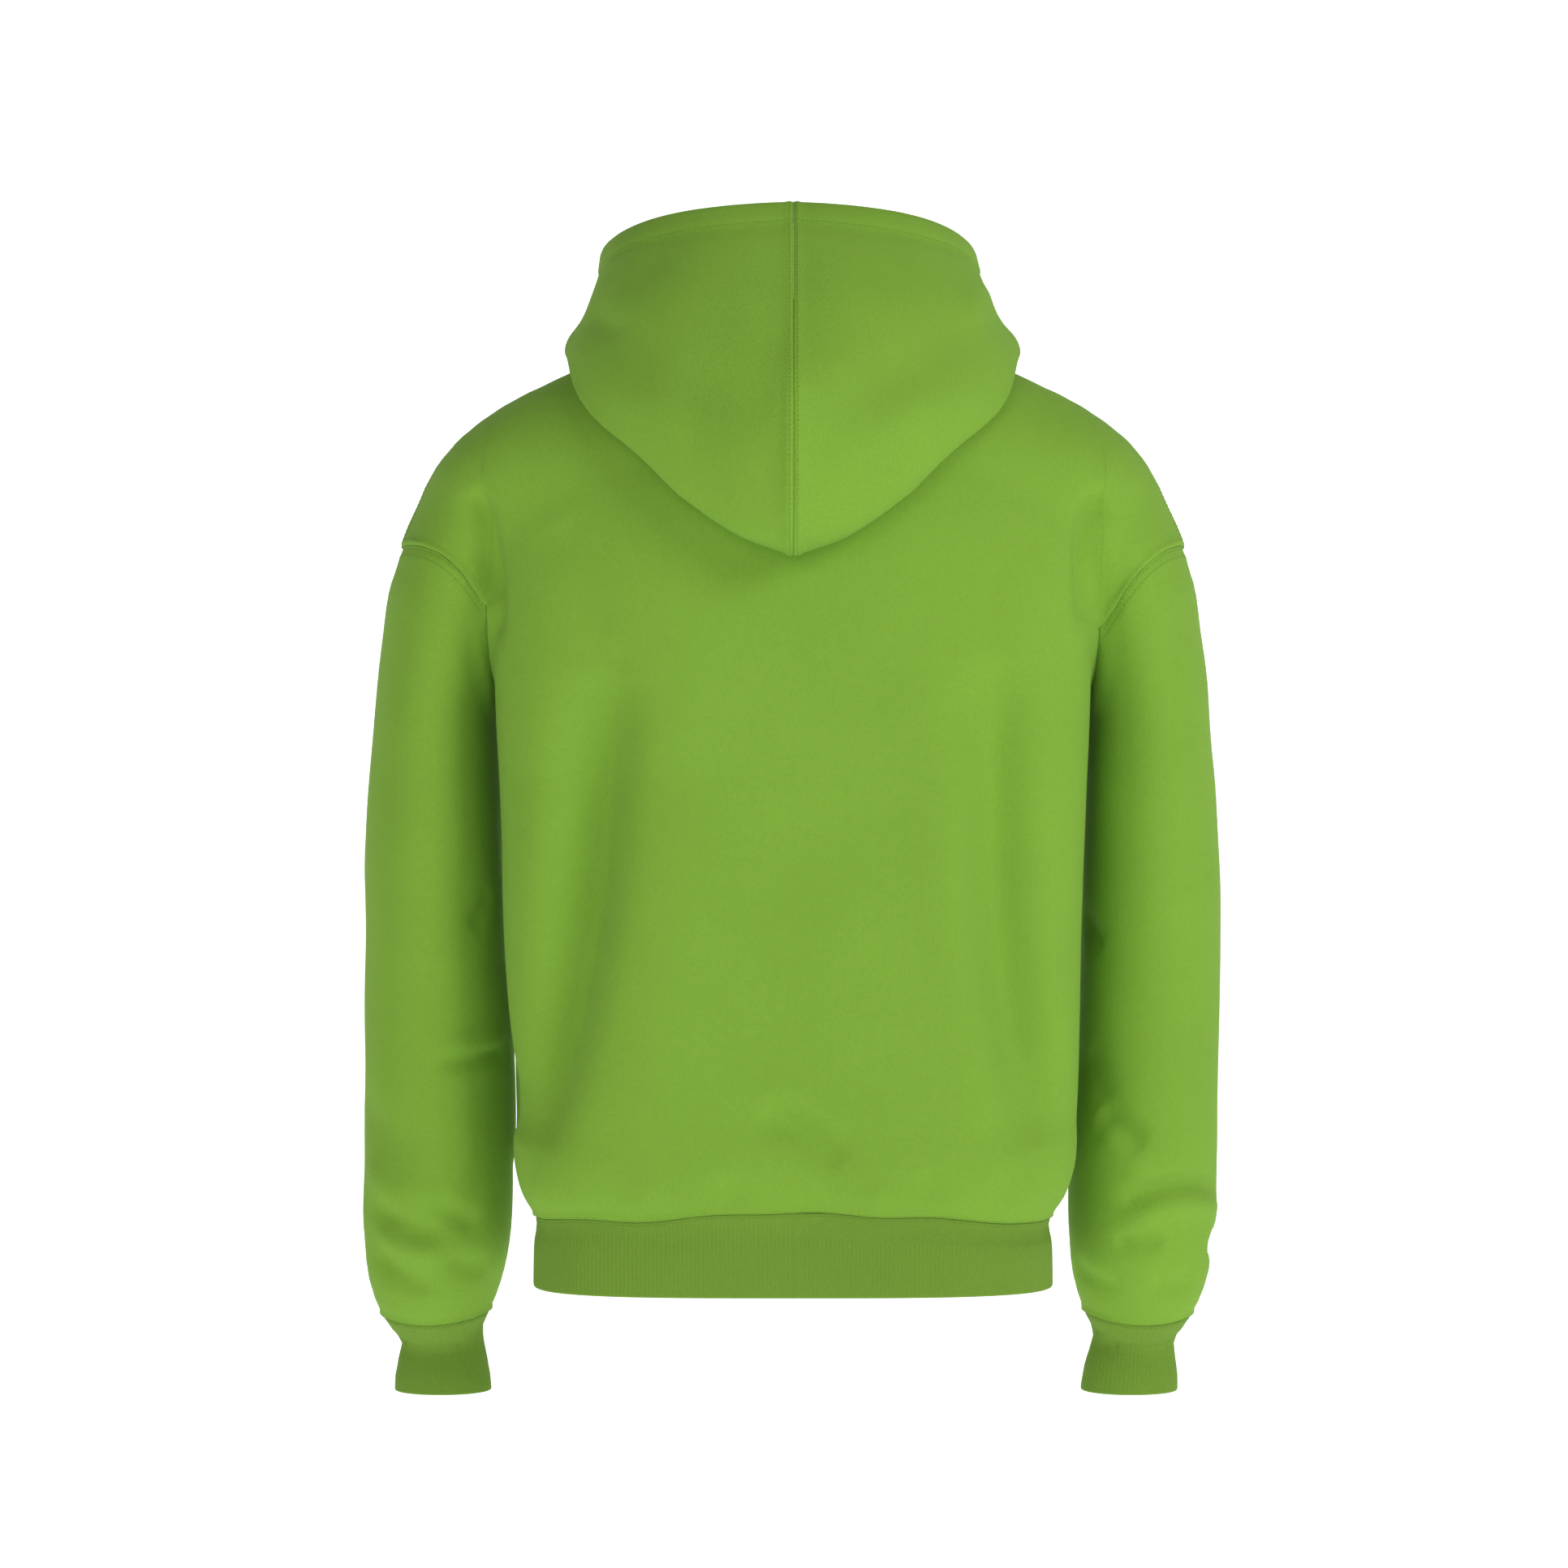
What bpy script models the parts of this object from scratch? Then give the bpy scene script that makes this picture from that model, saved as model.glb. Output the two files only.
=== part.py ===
"""Pullover hoodie in heavy sweatshirt fleece, filled out as if worn, with the hood down.

Metres, +Z up. The front faces -Y and the back +Y, so the wearer's left is +X. The origin is
the middle of the neck at shoulder level, where the wearer carries the garment.

Trunk and arms are two smooth forms on a general figure, joined softly at the shoulder. Each
cloth panel is a grid laid on that joined form and given the thickness of its cloth inwards.
Panels that are sewn together share the points of their seam, less the seam gap.
"""
import bpy
import numpy as np

for old in list(bpy.data.objects):
    bpy.data.objects.remove(old)

FLEECE = 0.0022                 # thickness of the body, sleeve and hood cloth
RIB = 0.0028                    # thickness of the ribbed hem and cuffs
TURNED_EDGE = 0.0036            # hood opening, turned in once and stitched down
SEAM_GAP = 0.0003               # space between the solids of two pieces sewn together
CROWDED = 0.012                 # hood rows nearer than this are eased apart
SMOOTH_ROUNDS = 8
HOOD_CLEAR_BY = 0.022           # distance from the neck seam where that space is reached
HOOD_CLEAR = 0.0070             # space between the hood's underside and the body
HEM_TOP = -0.612                # height of the hem seam at the centre
HEM_SIDE_DROP = 0.008           # how much lower the hem seam sits at the sides
HEM_BOTTOM = -0.670
WIDEST_Y = 0.020                # the trunk is widest a little behind the middle
FRONT_SQUARE = 2.2              # squareness of the trunk's section in front of that
SIDE_SEAM_Y = -0.016
ARM_ROOT = (SIDE_SEAM_Y, -0.120)    # middle of the arm where it enters the trunk: y, z
SHOULDER_TIP = (0.291, -0.006, -0.130)
NECK_HALF_WIDTH = 0.090
EDGE_DEPTH = 0.022              # width of the hood's turned edge
RIGHT_RIM = 0.95                # the hood opening sits a little narrower on the right
CUFF_TOP = -0.700
CUFF_BOTTOM = -0.762
GREEN = (0.21, 0.39, 0.045)
RIB_GREEN = (0.17, 0.32, 0.03)


def table(columns, *rows):
    """A small table: a name for each column, and a row for each section."""
    return dict(zip(columns.split(), np.array(rows, float).T))


TRUNK = table(
    "height  half_width  back    front   square",
    (-0.670, 0.1895, 0.1060, 0.1190, 3.2),
    (-0.640, 0.1890, 0.1070, 0.1200, 3.1),
    (-0.620, 0.1880, 0.1080, 0.1210, 3.0),
    (-0.605, 0.1980, 0.1150, 0.1280, 3.0),
    (-0.585, 0.2055, 0.1190, 0.1330, 3.0),
    (-0.545, 0.2075, 0.1190, 0.1350, 3.0),
    (-0.475, 0.2090, 0.1180, 0.1350, 3.0),
    (-0.385, 0.2118, 0.1190, 0.1370, 3.0),
    (-0.300, 0.2140, 0.1210, 0.1390, 3.0),
    (-0.226, 0.2180, 0.1220, 0.1400, 3.0),
    (-0.160, 0.2225, 0.1210, 0.1380, 2.9),
    (-0.110, 0.2270, 0.1170, 0.1320, 2.7),
    (-0.080, 0.2270, 0.1120, 0.1240, 2.5),
    (-0.055, 0.2130, 0.1060, 0.1160, 2.4),
    (-0.030, 0.1877, 0.0970, 0.1060, 2.3),
    (-0.008, 0.1560, 0.0870, 0.0960, 2.2),
    (0.015, 0.1250, 0.0760, 0.0860, 2.1),
    (0.036, 0.0930, 0.0620, 0.0740, 2.0),
)
ARM = table(
    "height  out_left out_right forward half_width half_depth",
    (-0.762, 0.2640, 0.2540, 0.0560, 0.0365, 0.0270),
    (-0.700, 0.2665, 0.2590, 0.0520, 0.0350, 0.0280),
    (-0.692, 0.2685, 0.2598, 0.0515, 0.0400, 0.0370),
    (-0.675, 0.2695, 0.2605, 0.0500, 0.0480, 0.0500),
    (-0.640, 0.2675, 0.2625, 0.0470, 0.0545, 0.0600),
    (-0.580, 0.2665, 0.2625, 0.0430, 0.0550, 0.0660),
    (-0.500, 0.2670, 0.2655, 0.0390, 0.0535, 0.0690),
    (-0.420, 0.2675, 0.2680, 0.0360, 0.0525, 0.0730),
    (-0.340, 0.2675, 0.2670, 0.0340, 0.0505, 0.0780),
    (-0.283, 0.2665, 0.2655, 0.0320, 0.0475, 0.0800),
    (-0.235, 0.2635, 0.2630, 0.0300, 0.0460, 0.0810),
    (-0.200, 0.2570, 0.2565, 0.0270, 0.0480, 0.0810),
    (-0.165, 0.2470, 0.2470, 0.0220, 0.0520, 0.0800),
    (-0.125, 0.2290, 0.2285, 0.0160, 0.0550, 0.0800),
    (-0.090, 0.2060, 0.2050, 0.0100, 0.0550, 0.0780),
    (-0.066, 0.1710, 0.1700, 0.0050, 0.0479, 0.0700),
    (-0.045, 0.1200, 0.1200, 0.0000, 0.0380, 0.0600),
)
SOFTNESS = table(               # how gently the arm runs into the trunk
    "height  blend",
    (-0.250, 0.0003),
    (-0.226, 0.0080),
    (-0.190, 0.0140),
    (-0.150, 0.0180),
    (-0.110, 0.0300),
    (-0.070, 0.0500),
    (0.040, 0.0500),
)
HOOD = table(                   # hood profile at each angle round the neck, 0 at centre back
    "angle stand roll   heel_r heel_z  low_r  low_z   wide_r wide_z  mid_r  mid_z   rim_r  rim_z",
    (0.0, 0.018, 0.018, 0.1280, -0.119, 0.1470, -0.135, 0.1680, -0.085, 0.1500, 0.020, 0.0900, 0.1115),
    (45.0, 0.018, 0.018, 0.1340, -0.053, 0.1530, -0.066, 0.1720, -0.040, 0.1590, 0.030, 0.1150, 0.1055),
    (90.0, 0.018, 0.016, 0.1430, 0.014, 0.1600, 0.004, 0.1710, 0.012, 0.1500, 0.045, 0.1410, 0.0900),
    (135.0, 0.009, 0.005, 0.1220, 0.009, 0.1280, 0.017, 0.1320, 0.028, 0.1335, 0.044, 0.1310, 0.064),
    (180.0, 0.010, 0.002, 0.1185, -0.027, 0.1195, -0.018, 0.1205, -0.008, 0.1215, 0.004, 0.1190, 0.020),
)
BACK_FOLDS = table(             # long soft folds in the back; a trough has a negative rise
    "x_top   z_top   x_foot  z_foot  width  rise",
    (0.1200, -0.270, 0.1750, -0.560, 0.032, -0.0070),
    (0.0800, -0.300, 0.1150, -0.540, 0.035, 0.0030),
    (-0.1380, -0.300, -0.1850, -0.580, 0.028, 0.0060),
    (-0.1850, -0.360, -0.2000, -0.520, 0.020, -0.0050),
)
FRONT_FOLDS = table(
    "x_top   z_top   x_foot  z_foot  width  rise",
    (-0.1250, -0.290, -0.1700, -0.550, 0.032, -0.0060),
    (0.1300, -0.320, 0.1750, -0.570, 0.030, -0.0050),
    (0.0300, -0.480, 0.0900, -0.560, 0.030, 0.0040),
)

NECK_COLUMNS = 6                # grid columns from the centre to the neck point
SHOULDER_COLUMNS = 5            # from the neck point to the crease
ARM_COLUMNS = 3                 # from the crease to the armhole seam
YOKE_ROWS = 9                   # from the underarm to the shoulder seam
BODY_ROWS = 11                  # from the hem seam to the underarm
SLEEVE_ROWS = 14
CUFF_ROWS = 2
HEM_ROWS = 2
UNDERSIDE_LINES = (0, 1, 2, 2.5, 3, 3.5, 4, 4.5, 5)     # hood rows below its lowest roll
OVERSIDE_ROWS = 7               # hood rows from the lowest roll to the turned edge
CREASE_ROWS = 3                 # yoke rows whose armhole seam still lies in the crease
LEAVE_ROW = BODY_ROWS + CREASE_ROWS
RIM_LEAN = (0.31, 0.42, 0.85)   # settles which way the edge faces of a wall are halved
CREASE_SHARE = {1: 0.27, -1: 0.22}      # share of the crease below where the seam leaves it


def through(knots, values, at):
    """Smooth curve through the values at rising knots."""
    slopes = np.gradient(values, knots)
    i = np.clip(np.searchsorted(knots, at) - 1, 0, len(knots) - 2)
    span = knots[i + 1] - knots[i]
    t = np.clip((at - knots[i]) / span, 0.0, 1.0)
    start = values[i] * (1 + 2 * t) + slopes[i] * span * t
    end = values[i + 1] * (3 - 2 * t) - slopes[i + 1] * span * (1 - t)
    return start * (1 - t) ** 2 + end * t ** 2


def column(rows, name, at):
    key = "angle" if "angle" in rows else "height"
    return through(rows[key], rows[name], at)


def trunk_form(p):
    """How far a point lies outside the trunk's rounded section, measured from its middle."""
    x, y, z = np.abs(p[:, 0]), p[:, 1], p[:, 2]
    half_width = column(TRUNK, "half_width", z)
    y = y - WIDEST_Y
    depth = np.where(y > 0, column(TRUNK, "back", z) - WIDEST_Y,
                     column(TRUNK, "front", z) + WIDEST_Y)
    square = np.where(y > 0, column(TRUNK, "square", z), FRONT_SQUARE)
    reach = ((x / half_width) ** square + (np.abs(y) / depth) ** square) ** (1 / square)
    return np.hypot(x, y) * (1 - 1 / np.maximum(reach, 0.05))


def arm_line(side):
    """Centre line, half width and half depth of one arm, sampled from wrist to neck."""
    heights = np.linspace(ARM["height"][0], ARM["height"][-1], 90)
    out = column(ARM, "out_left" if side > 0 else "out_right", heights)
    centre = np.stack([out, -column(ARM, "forward", heights), heights], axis=1)
    return centre, column(ARM, "half_width", heights), column(ARM, "half_depth", heights)


ARM_LINES = {side: arm_line(side) for side in (1, -1)}


def tube_distance(p, line):
    centre, half_width, half_depth = line
    start, step = centre[:-1], np.diff(centre, axis=0)
    offset = p[:, None, :] - start
    t = np.clip((offset * step).sum(2) / (step * step).sum(1), 0.0, 1.0)
    radius = half_width[:-1] + t * np.diff(half_width)
    depth = half_depth[:-1] + t * np.diff(half_depth)
    offset = offset - t[..., None] * step
    offset[..., 1] *= radius / depth
    return (np.sqrt((offset ** 2).sum(2)) - radius).min(axis=1)


def arm_form(p):
    mirrored = np.column_stack([np.abs(p[:, 0]), p[:, 1:]])
    left, right = (tube_distance(mirrored, ARM_LINES[side]) for side in (1, -1))
    return np.where(p[:, 0] > 0, left, right)


def body_form(p):
    """Trunk and arms joined softly."""
    trunk, arm = trunk_form(p), arm_form(p)
    blend = column(SOFTNESS, "blend", p[:, 2])
    near = np.clip(1 - np.abs(trunk - arm) / blend, 0.0, 1.0)
    return np.minimum(trunk, arm) - near ** 2 * blend / 4


def slope_of(form, p, step=0.0005):
    slope = np.empty_like(p)
    for axis in range(3):
        shift = np.zeros(3)
        shift[axis] = step
        slope[:, axis] = (form(p + shift) - form(p - shift)) / (2 * step)
    return slope


def settle(points, form=body_form, height=0.0, steps=8):
    """Move points onto the form, or to a height above it, by the shortest way."""
    p = points.reshape(-1, 3).copy()
    for _ in range(steps):
        slope = slope_of(form, p)
        steep = np.maximum((slope ** 2).sum(1), 0.05)
        gap = form(p) - height * np.sqrt(steep)
        p -= (gap / steep)[:, None] * slope
    return p.reshape(points.shape)


def outward(points, form=body_form):
    slope = slope_of(form, points.reshape(-1, 3))
    return (slope / np.linalg.norm(slope, axis=1, keepdims=True)).reshape(points.shape)


def fold_rise(p):
    """How far the folds lift the cloth at each point."""
    rise = np.zeros(len(p))
    for folds, face in ((BACK_FOLDS, 1), (FRONT_FOLDS, -1)):
        for top_x, top_z, foot_x, foot_z, width, height in zip(*folds.values()):
            top, run = np.array([top_x, top_z]), np.array([foot_x - top_x, foot_z - top_z])
            away = p[:, [0, 2]] - top
            t = (away @ run) / (run @ run)
            across = np.abs(away[:, 0] * run[1] - away[:, 1] * run[0]) / np.linalg.norm(run)
            along = np.clip(1 - (2 * t - 1) ** 4, 0, 1)
            on_face = np.clip(face * p[:, 1] / 0.04, 0, 1)
            rise += height * np.exp(-(across / width) ** 2) * along * on_face
    return rise


def resample(points, count=0, at=None):
    """Points spaced evenly, or at given fractions, along a curve."""
    length = np.r_[0, np.cumsum(np.linalg.norm(np.diff(points, axis=0), axis=1))]
    wanted = (np.linspace(0, 1, count + 1) if at is None else at) * length[-1]
    return np.stack([np.interp(wanted, length, points[:, k]) for k in range(3)], axis=1)


def patch(bottom, top, left, right):
    """Grid filled in between four edge curves."""
    u = np.linspace(0, 1, len(bottom))[None, :, None]
    v = np.linspace(0, 1, len(left))[:, None, None]
    rows = (1 - v) * bottom[None] + v * top[None]
    columns = (1 - u) * left[:, None] + u * right[:, None]
    corners = ((1 - u) * (1 - v) * bottom[0] + u * (1 - v) * bottom[-1]
               + (1 - u) * v * top[0] + u * v * top[-1])
    return rows + columns - corners


def trunk_row(height, face, count):
    """Even points from the centre to the side seam at one height of the trunk."""
    y = np.linspace(0.14 * face, SIDE_SEAM_Y, 200)
    x = column(TRUNK, "half_width", height) * np.linspace(0, 1, 200) ** 0.5
    guess = np.stack([x, y, np.full(200, height)], axis=1)
    points = settle(guess, trunk_form)
    points[:, 2] = height
    points[0, 0] = 0.0
    points[-1] = [points[-1, 0], SIDE_SEAM_Y, height]
    return resample(points, count)


def neckline(face, count):
    """Neck seam from the centre back or front round to the neck point."""
    angle = np.linspace(0, np.pi / 2, count + 1)
    reach, drop = (0.070, 0.020) if face > 0 else (0.112, 0.088)
    y = face * reach * np.cos(angle)
    z = 0.034 - drop * np.cos(angle) ** 1.6
    return np.stack([NECK_HALF_WIDTH * np.sin(angle), y, z], axis=1)


def halve(low, high, beyond):
    """Where a test turns true between low and high, for arrays of either."""
    for _ in range(30):
        middle = (low + high) / 2
        far = beyond(middle)
        low, high = np.where(far, low, middle), np.where(far, middle, high)
    return (low + high) / 2


def crease_line(face, fractions):
    """Line where the arm meets the trunk, from the underarm past the back to the shoulder."""
    angle = np.radians(np.linspace(-90, 90, 60))
    start = np.array(ARM_ROOT)
    way = np.stack([face * np.cos(angle), np.sin(angle)], axis=1)

    def between(reach):
        y, z = (start + reach[:, None] * way).T

        def nearer_arm(x):
            p = np.stack([x, y, z], axis=1)
            return trunk_form(p) > arm_form(p)

        x = halve(np.full(60, 0.10), np.full(60, 0.30), nearer_arm)
        return np.stack([x, y, z], axis=1)

    reach = halve(np.zeros(60), np.full(60, 0.2), lambda r: body_form(between(r)) > 0)
    return resample(between(reach), at=fractions)


def straight(start, end, count):
    return start + np.linspace(0, 1, count + 1)[:, None] * (end - start)


def armhole(side, face, start):
    """Armhole seam from where it leaves the crease, round the arm to the shoulder tip."""
    fall = 2.0 if side > 0 else 1.6
    tip = np.array(SHOULDER_TIP)
    out, forward, half_width, half_depth = (
        column(ARM, name, start[2]) for name in ("out_left", "forward", "half_width", "half_depth"))
    first = np.arctan2(abs(start[1] + forward) / half_depth, (start[0] - out) / half_width)
    angle = np.linspace(first, 0, ARM_COLUMNS + YOKE_ROWS - CREASE_ROWS + 1)
    share = (1 - np.cos(angle)) / (1 - np.cos(first))
    height = tip[2] + (start[2] - tip[2]) * share ** fall
    x = column(ARM, "out_left", height) + column(ARM, "half_width", height) * np.cos(angle)
    y = face * column(ARM, "half_depth", height) * np.sin(angle) - column(ARM, "forward", height)
    points = np.stack([x, y, height], axis=1)
    points[0], points[-1] = start, tip
    return points


def crease_lay(crease, lay):
    """Directions out of the crease, square to it and midway between trunk and arm."""
    run = np.gradient(crease, axis=0)
    run[0] = [0, 1, 0]
    out = np.cross(run, outward(crease, trunk_form) - outward(crease, arm_form))
    out *= np.sign((out * lay).sum(1, keepdims=True))
    return out / np.linalg.norm(out, axis=1, keepdims=True)


def relax(grid, free, rounds=20):
    """Even out the spacing of the free points while they stay on the form."""
    for _ in range(rounds):
        beside = (np.roll(grid, 1, 0) + np.roll(grid, -1, 0)
                  + np.roll(grid, 1, 1) + np.roll(grid, -1, 1)) / 4
        moved = grid[free] + 0.5 * (beside[free] - grid[free])
        grid[free] = settle(moved, steps=2)


def half_panel(side, face):
    """Grid of half a body panel: hem to underarm, then the yoke with the shoulder."""
    centre_top = neckline(face, NECK_COLUMNS)
    leave = CREASE_SHARE[side]
    crease = crease_line(face, np.r_[np.linspace(0, leave, CREASE_ROWS + 1),
                                     np.linspace(leave, 1, YOKE_ROWS - CREASE_ROWS + 1)[1:]])
    inner = straight(centre_top[-1], crease[-1], SHOULDER_COLUMNS)
    outer = straight(crease[-1], np.array(SHOULDER_TIP), ARM_COLUMNS)
    side_column = NECK_COLUMNS + SHOULDER_COLUMNS
    under = crease[0]

    lower = []
    for step in np.linspace(0, 1, BODY_ROWS + 1) ** 1.4:
        row = trunk_row(HEM_TOP + step * (under[2] - HEM_TOP), face, side_column)
        row[:, 2] -= HEM_SIDE_DROP * (1 - step) * (row[:, 0] / row[-1, 0]) ** 2
        lower.append(row)
    lower = np.array(lower)
    lower[-1, -1] = under

    centre = straight(lower[-1, 0], centre_top[0], 40)
    centre = resample(settle(centre), YOKE_ROWS)
    hole = armhole(side, face, crease[CREASE_ROWS])
    grid = np.full((BODY_ROWS + YOKE_ROWS + 1, side_column + ARM_COLUMNS + 1, 3), np.nan)
    grid[:BODY_ROWS + 1, :side_column + 1] = lower
    grid[BODY_ROWS:, :side_column + 1] = patch(
        lower[-1], np.vstack([centre_top, inner[1:]]), centre, crease)
    grid[LEAVE_ROW:, side_column:] = patch(
        hole[:ARM_COLUMNS + 1], outer, crease[CREASE_ROWS:], hole[ARM_COLUMNS:])
    real = ~np.isnan(grid[..., 0])
    flat = grid[real]
    if side < 0:
        flat = flat * (-1, 1, 1)
    grid[real] = settle(flat)
    free = real.copy()
    free[:, [0, -1]] = free[[0, -1]] = False
    free[:BODY_ROWS - 2] = free[:LEAVE_ROW + 1, side_column:] = False
    relax(grid, free)
    grid[:, 0, 0] = 0.0
    return grid


def cells_of(grid, closed):
    """Which cells of a grid have all four corners; a closed grid joins its ends."""
    used = ~np.isnan(grid[..., 0])
    if closed:
        used = np.hstack([used, used[:, :1]])
    return used[:-1, :-1] & used[1:, :-1] & used[:-1, 1:] & used[1:, 1:]


def along_axis(grid, axis, wraps):
    """Unit direction along one axis of a grid, one-sided beside a missing point."""
    ahead, behind = np.roll(grid, -1, axis), np.roll(grid, 1, axis)
    if not wraps:
        np.moveaxis(ahead, axis, 0)[-1] = np.nan
        np.moveaxis(behind, axis, 0)[0] = np.nan
    step = np.where(np.isnan(ahead), grid, ahead) - np.where(np.isnan(behind), grid, behind)
    return step / np.linalg.norm(step, axis=-1, keepdims=True)


def trim(grid, normals, closed, handed):
    """Draw the edges of a piece in by half a seam gap, square to the seam."""
    cells = cells_of(grid, closed)
    sides = (cells[:, -1:], cells[:, :1]) if closed else (cells[:, :1] & False,) * 2
    missing = ~np.pad(np.hstack([sides[0], cells, sides[1]]), ((1, 1), (0, 0)))
    lower, upper = missing[:-1].astype(int), missing[1:].astype(int)
    across = np.sign(lower[:, :-1] + upper[:, :-1] - lower[:, 1:] - upper[:, 1:])
    along = np.sign(lower[:, :-1] + lower[:, 1:] - upper[:, :-1] - upper[:, 1:])
    across, along = (way[:, :grid.shape[1], None] for way in (across, along))
    sideways = np.cross(along_axis(grid, 0, False), normals) * handed
    upwards = np.cross(normals, along_axis(grid, 1, closed)) * handed
    return grid + (across * sideways + along * upwards) * SEAM_GAP / 2


def wall(grid, normals, thickness=FLEECE, closed=False):
    """Vertices and faces of a cloth wall: its outer face, its inner face and its edges."""
    cells = cells_of(grid, closed)
    facing = (np.cross(along_axis(grid, 1, closed), along_axis(grid, 0, False)) * normals)
    handed = np.sign(np.nansum(facing))
    outer_grid = trim(grid, normals, closed, handed)
    used = ~np.isnan(grid[..., 0])
    number = np.full(used.shape, -1)
    number[used] = np.arange(used.sum())
    depth = np.broadcast_to(thickness, used.shape)[used][:, None]
    outer = outer_grid[used]
    inner = outer - normals[used] * depth
    faces = []
    for i, j in np.argwhere(cells):
        k = (j + 1) % grid.shape[1]
        a, b, c, d = number[i, j], number[i, k], number[i + 1, k], number[i + 1, j]
        if np.linalg.norm(outer[a] - outer[c]) < np.linalg.norm(outer[b] - outer[d]):
            halves = [a, b, c], [a, c, d]
        else:
            halves = [a, b, d], [b, c, d]
        faces += [half if handed > 0 else half[::-1] for half in halves]
    edges = {(a, b) for half in faces for a, b in zip(half, half[1:] + half[:1])}
    count = len(outer)
    faces += [[count + v for v in reversed(half)] for half in faces]
    for a, b in sorted(edges):
        if (b, a) not in edges and (outer[a] - outer[b]) @ RIM_LEAN > 0:
            faces += [[b, a, count + a], [b, count + a, count + b]]
        elif (b, a) not in edges:
            faces += [[a, count + a, count + b], [a, count + b, b]]
    return np.vstack([outer, inner]), faces


def material(name, colour, roughness):
    made = bpy.data.materials.new(name)
    made.use_nodes = True
    shader = made.node_tree.nodes["Principled BSDF"]
    shader.inputs["Base Color"].default_value = (*colour, 1.0)
    shader.inputs["Roughness"].default_value = roughness
    shader.inputs["Metallic"].default_value = 0.0
    return made


def add_piece(name, vertices, faces, colour, collection):
    mesh = bpy.data.meshes.new(name)
    mesh.from_pydata(vertices.tolist(), [], [[int(v) for v in face] for face in faces])
    mesh.validate()
    mesh.shade_smooth()
    mesh.materials.append(material(name, colour, 0.9))
    made = bpy.data.objects.new(name, mesh)
    collection.objects.link(made)
    return made


def body_panels():
    """Quarter grids of the body by side and face, with their folds."""
    quarters = {}
    for side in (1, -1):
        for face in (1, -1):
            grid = half_panel(side, face)
            used = ~np.isnan(grid[..., 0])
            lay = np.full_like(grid, np.nan)
            lay[used] = outward(grid[used])
            lay[:, 0, 0] = 0.0
            in_crease = slice(BODY_ROWS, LEAVE_ROW + 1), NECK_COLUMNS + SHOULDER_COLUMNS
            lay[in_crease] = crease_lay(grid[in_crease], lay[in_crease])
            grid[used] += lay[used] * fold_rise(grid[used])[:, None]
            quarters[side, face] = grid, lay
    return quarters


def whole_panel(quarters, face):
    """Both quarters of one face, side by side, sharing the centre column."""
    left, right = quarters[1, face], quarters[-1, face]
    return [np.concatenate([r[:, :0:-1], l], axis=1) for l, r in zip(left, right)]


def ring(quarters, side, pick):
    """Closed ring: up the back half of an edge and down the front half."""
    back, front = (pick(quarters[side, face]) for face in (1, -1))
    return [np.concatenate([b, f[-2:0:-1]]) for b, f in zip(back, front)]


def armhole_edge(quarter):
    side_column = NECK_COLUMNS + SHOULDER_COLUMNS
    return [np.concatenate([g[BODY_ROWS:LEAVE_ROW, side_column], g[LEAVE_ROW, side_column:],
                            g[LEAVE_ROW + 1:, -1]]) for g in quarter]


def arm_ring(side, heights, count):
    """Ring round the arm, from the inner side past the back; heights may vary round it."""
    angle = np.pi - np.linspace(0, 2 * np.pi, count, endpoint=False)
    out = column(ARM, "out_left" if side > 0 else "out_right", heights)
    x = out + column(ARM, "half_width", heights) * np.cos(angle)
    y = column(ARM, "half_depth", heights) * np.sin(angle) - column(ARM, "forward", heights)
    return np.stack([side * x, y, heights + 0 * x], axis=1)


def sleeve(quarters, side):
    top, top_lay = ring(quarters, side, armhole_edge)
    rows = [top]
    for step in 1 - (1 - np.linspace(0, 1, SLEEVE_ROWS + 1)[1:]) ** 1.35:
        rows.append(arm_ring(side, top[:, 2] * (1 - step) + CUFF_TOP * step, len(top)))
    grid = np.array(rows)
    grid[1:] = settle(grid[1:])
    free = np.zeros(grid.shape[:2], bool)
    free[1:5] = True
    relax(grid, free, 8)
    lay = np.concatenate([top_lay[None], outward(grid[1:])])
    return grid, lay


def cuff(side, seam, seam_lay):
    rows = [seam]
    for height in np.linspace(CUFF_TOP, CUFF_BOTTOM, CUFF_ROWS + 1)[1:]:
        rows.append(settle(arm_ring(side, np.full(len(seam), height), len(seam))))
    grid = np.array(rows)
    lay = outward(grid)
    lay[0] = seam_lay
    lay[-1, :, 2] = 0.0
    lay[-1] /= np.linalg.norm(lay[-1], axis=1, keepdims=True)
    return grid, lay


def hem(quarters):
    """Ribbed band: continues down from the foot of the body, all the way round."""
    loops = [ring(quarters, side, lambda quarter: [
        g[0, :NECK_COLUMNS + SHOULDER_COLUMNS + 1] for g in quarter]) for side in (1, -1)]
    (left, left_lay), (right, right_lay) = loops
    top = np.concatenate([left, right[:0:-1]])
    top_lay = np.concatenate([left_lay, right_lay[:0:-1]])
    rows = [top]
    for step in np.linspace(0, 1, HEM_ROWS + 1)[1:]:
        row = top.copy()
        row[:, 2] = top[:, 2] * (1 - step) + HEM_BOTTOM * step
        rows.append(settle(row))
    grid = np.array(rows)
    lay = outward(grid)
    lay[0] = top_lay
    return grid, lay


def lift_off(grid):
    """Raise the hood clear of the body, less so beside its neck seam."""
    height = np.linalg.norm(grid - grid[0], axis=-1).ravel()
    clear = HOOD_CLEAR * np.minimum(height / HOOD_CLEAR_BY, 1)
    flat = grid.reshape(-1, 3).copy()
    close = body_form(flat) < clear * np.linalg.norm(slope_of(body_form, flat), axis=1)
    close &= height > 0
    flat[close] = settle(flat[close], height=clear[close])
    return flat.reshape(grid.shape)


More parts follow.
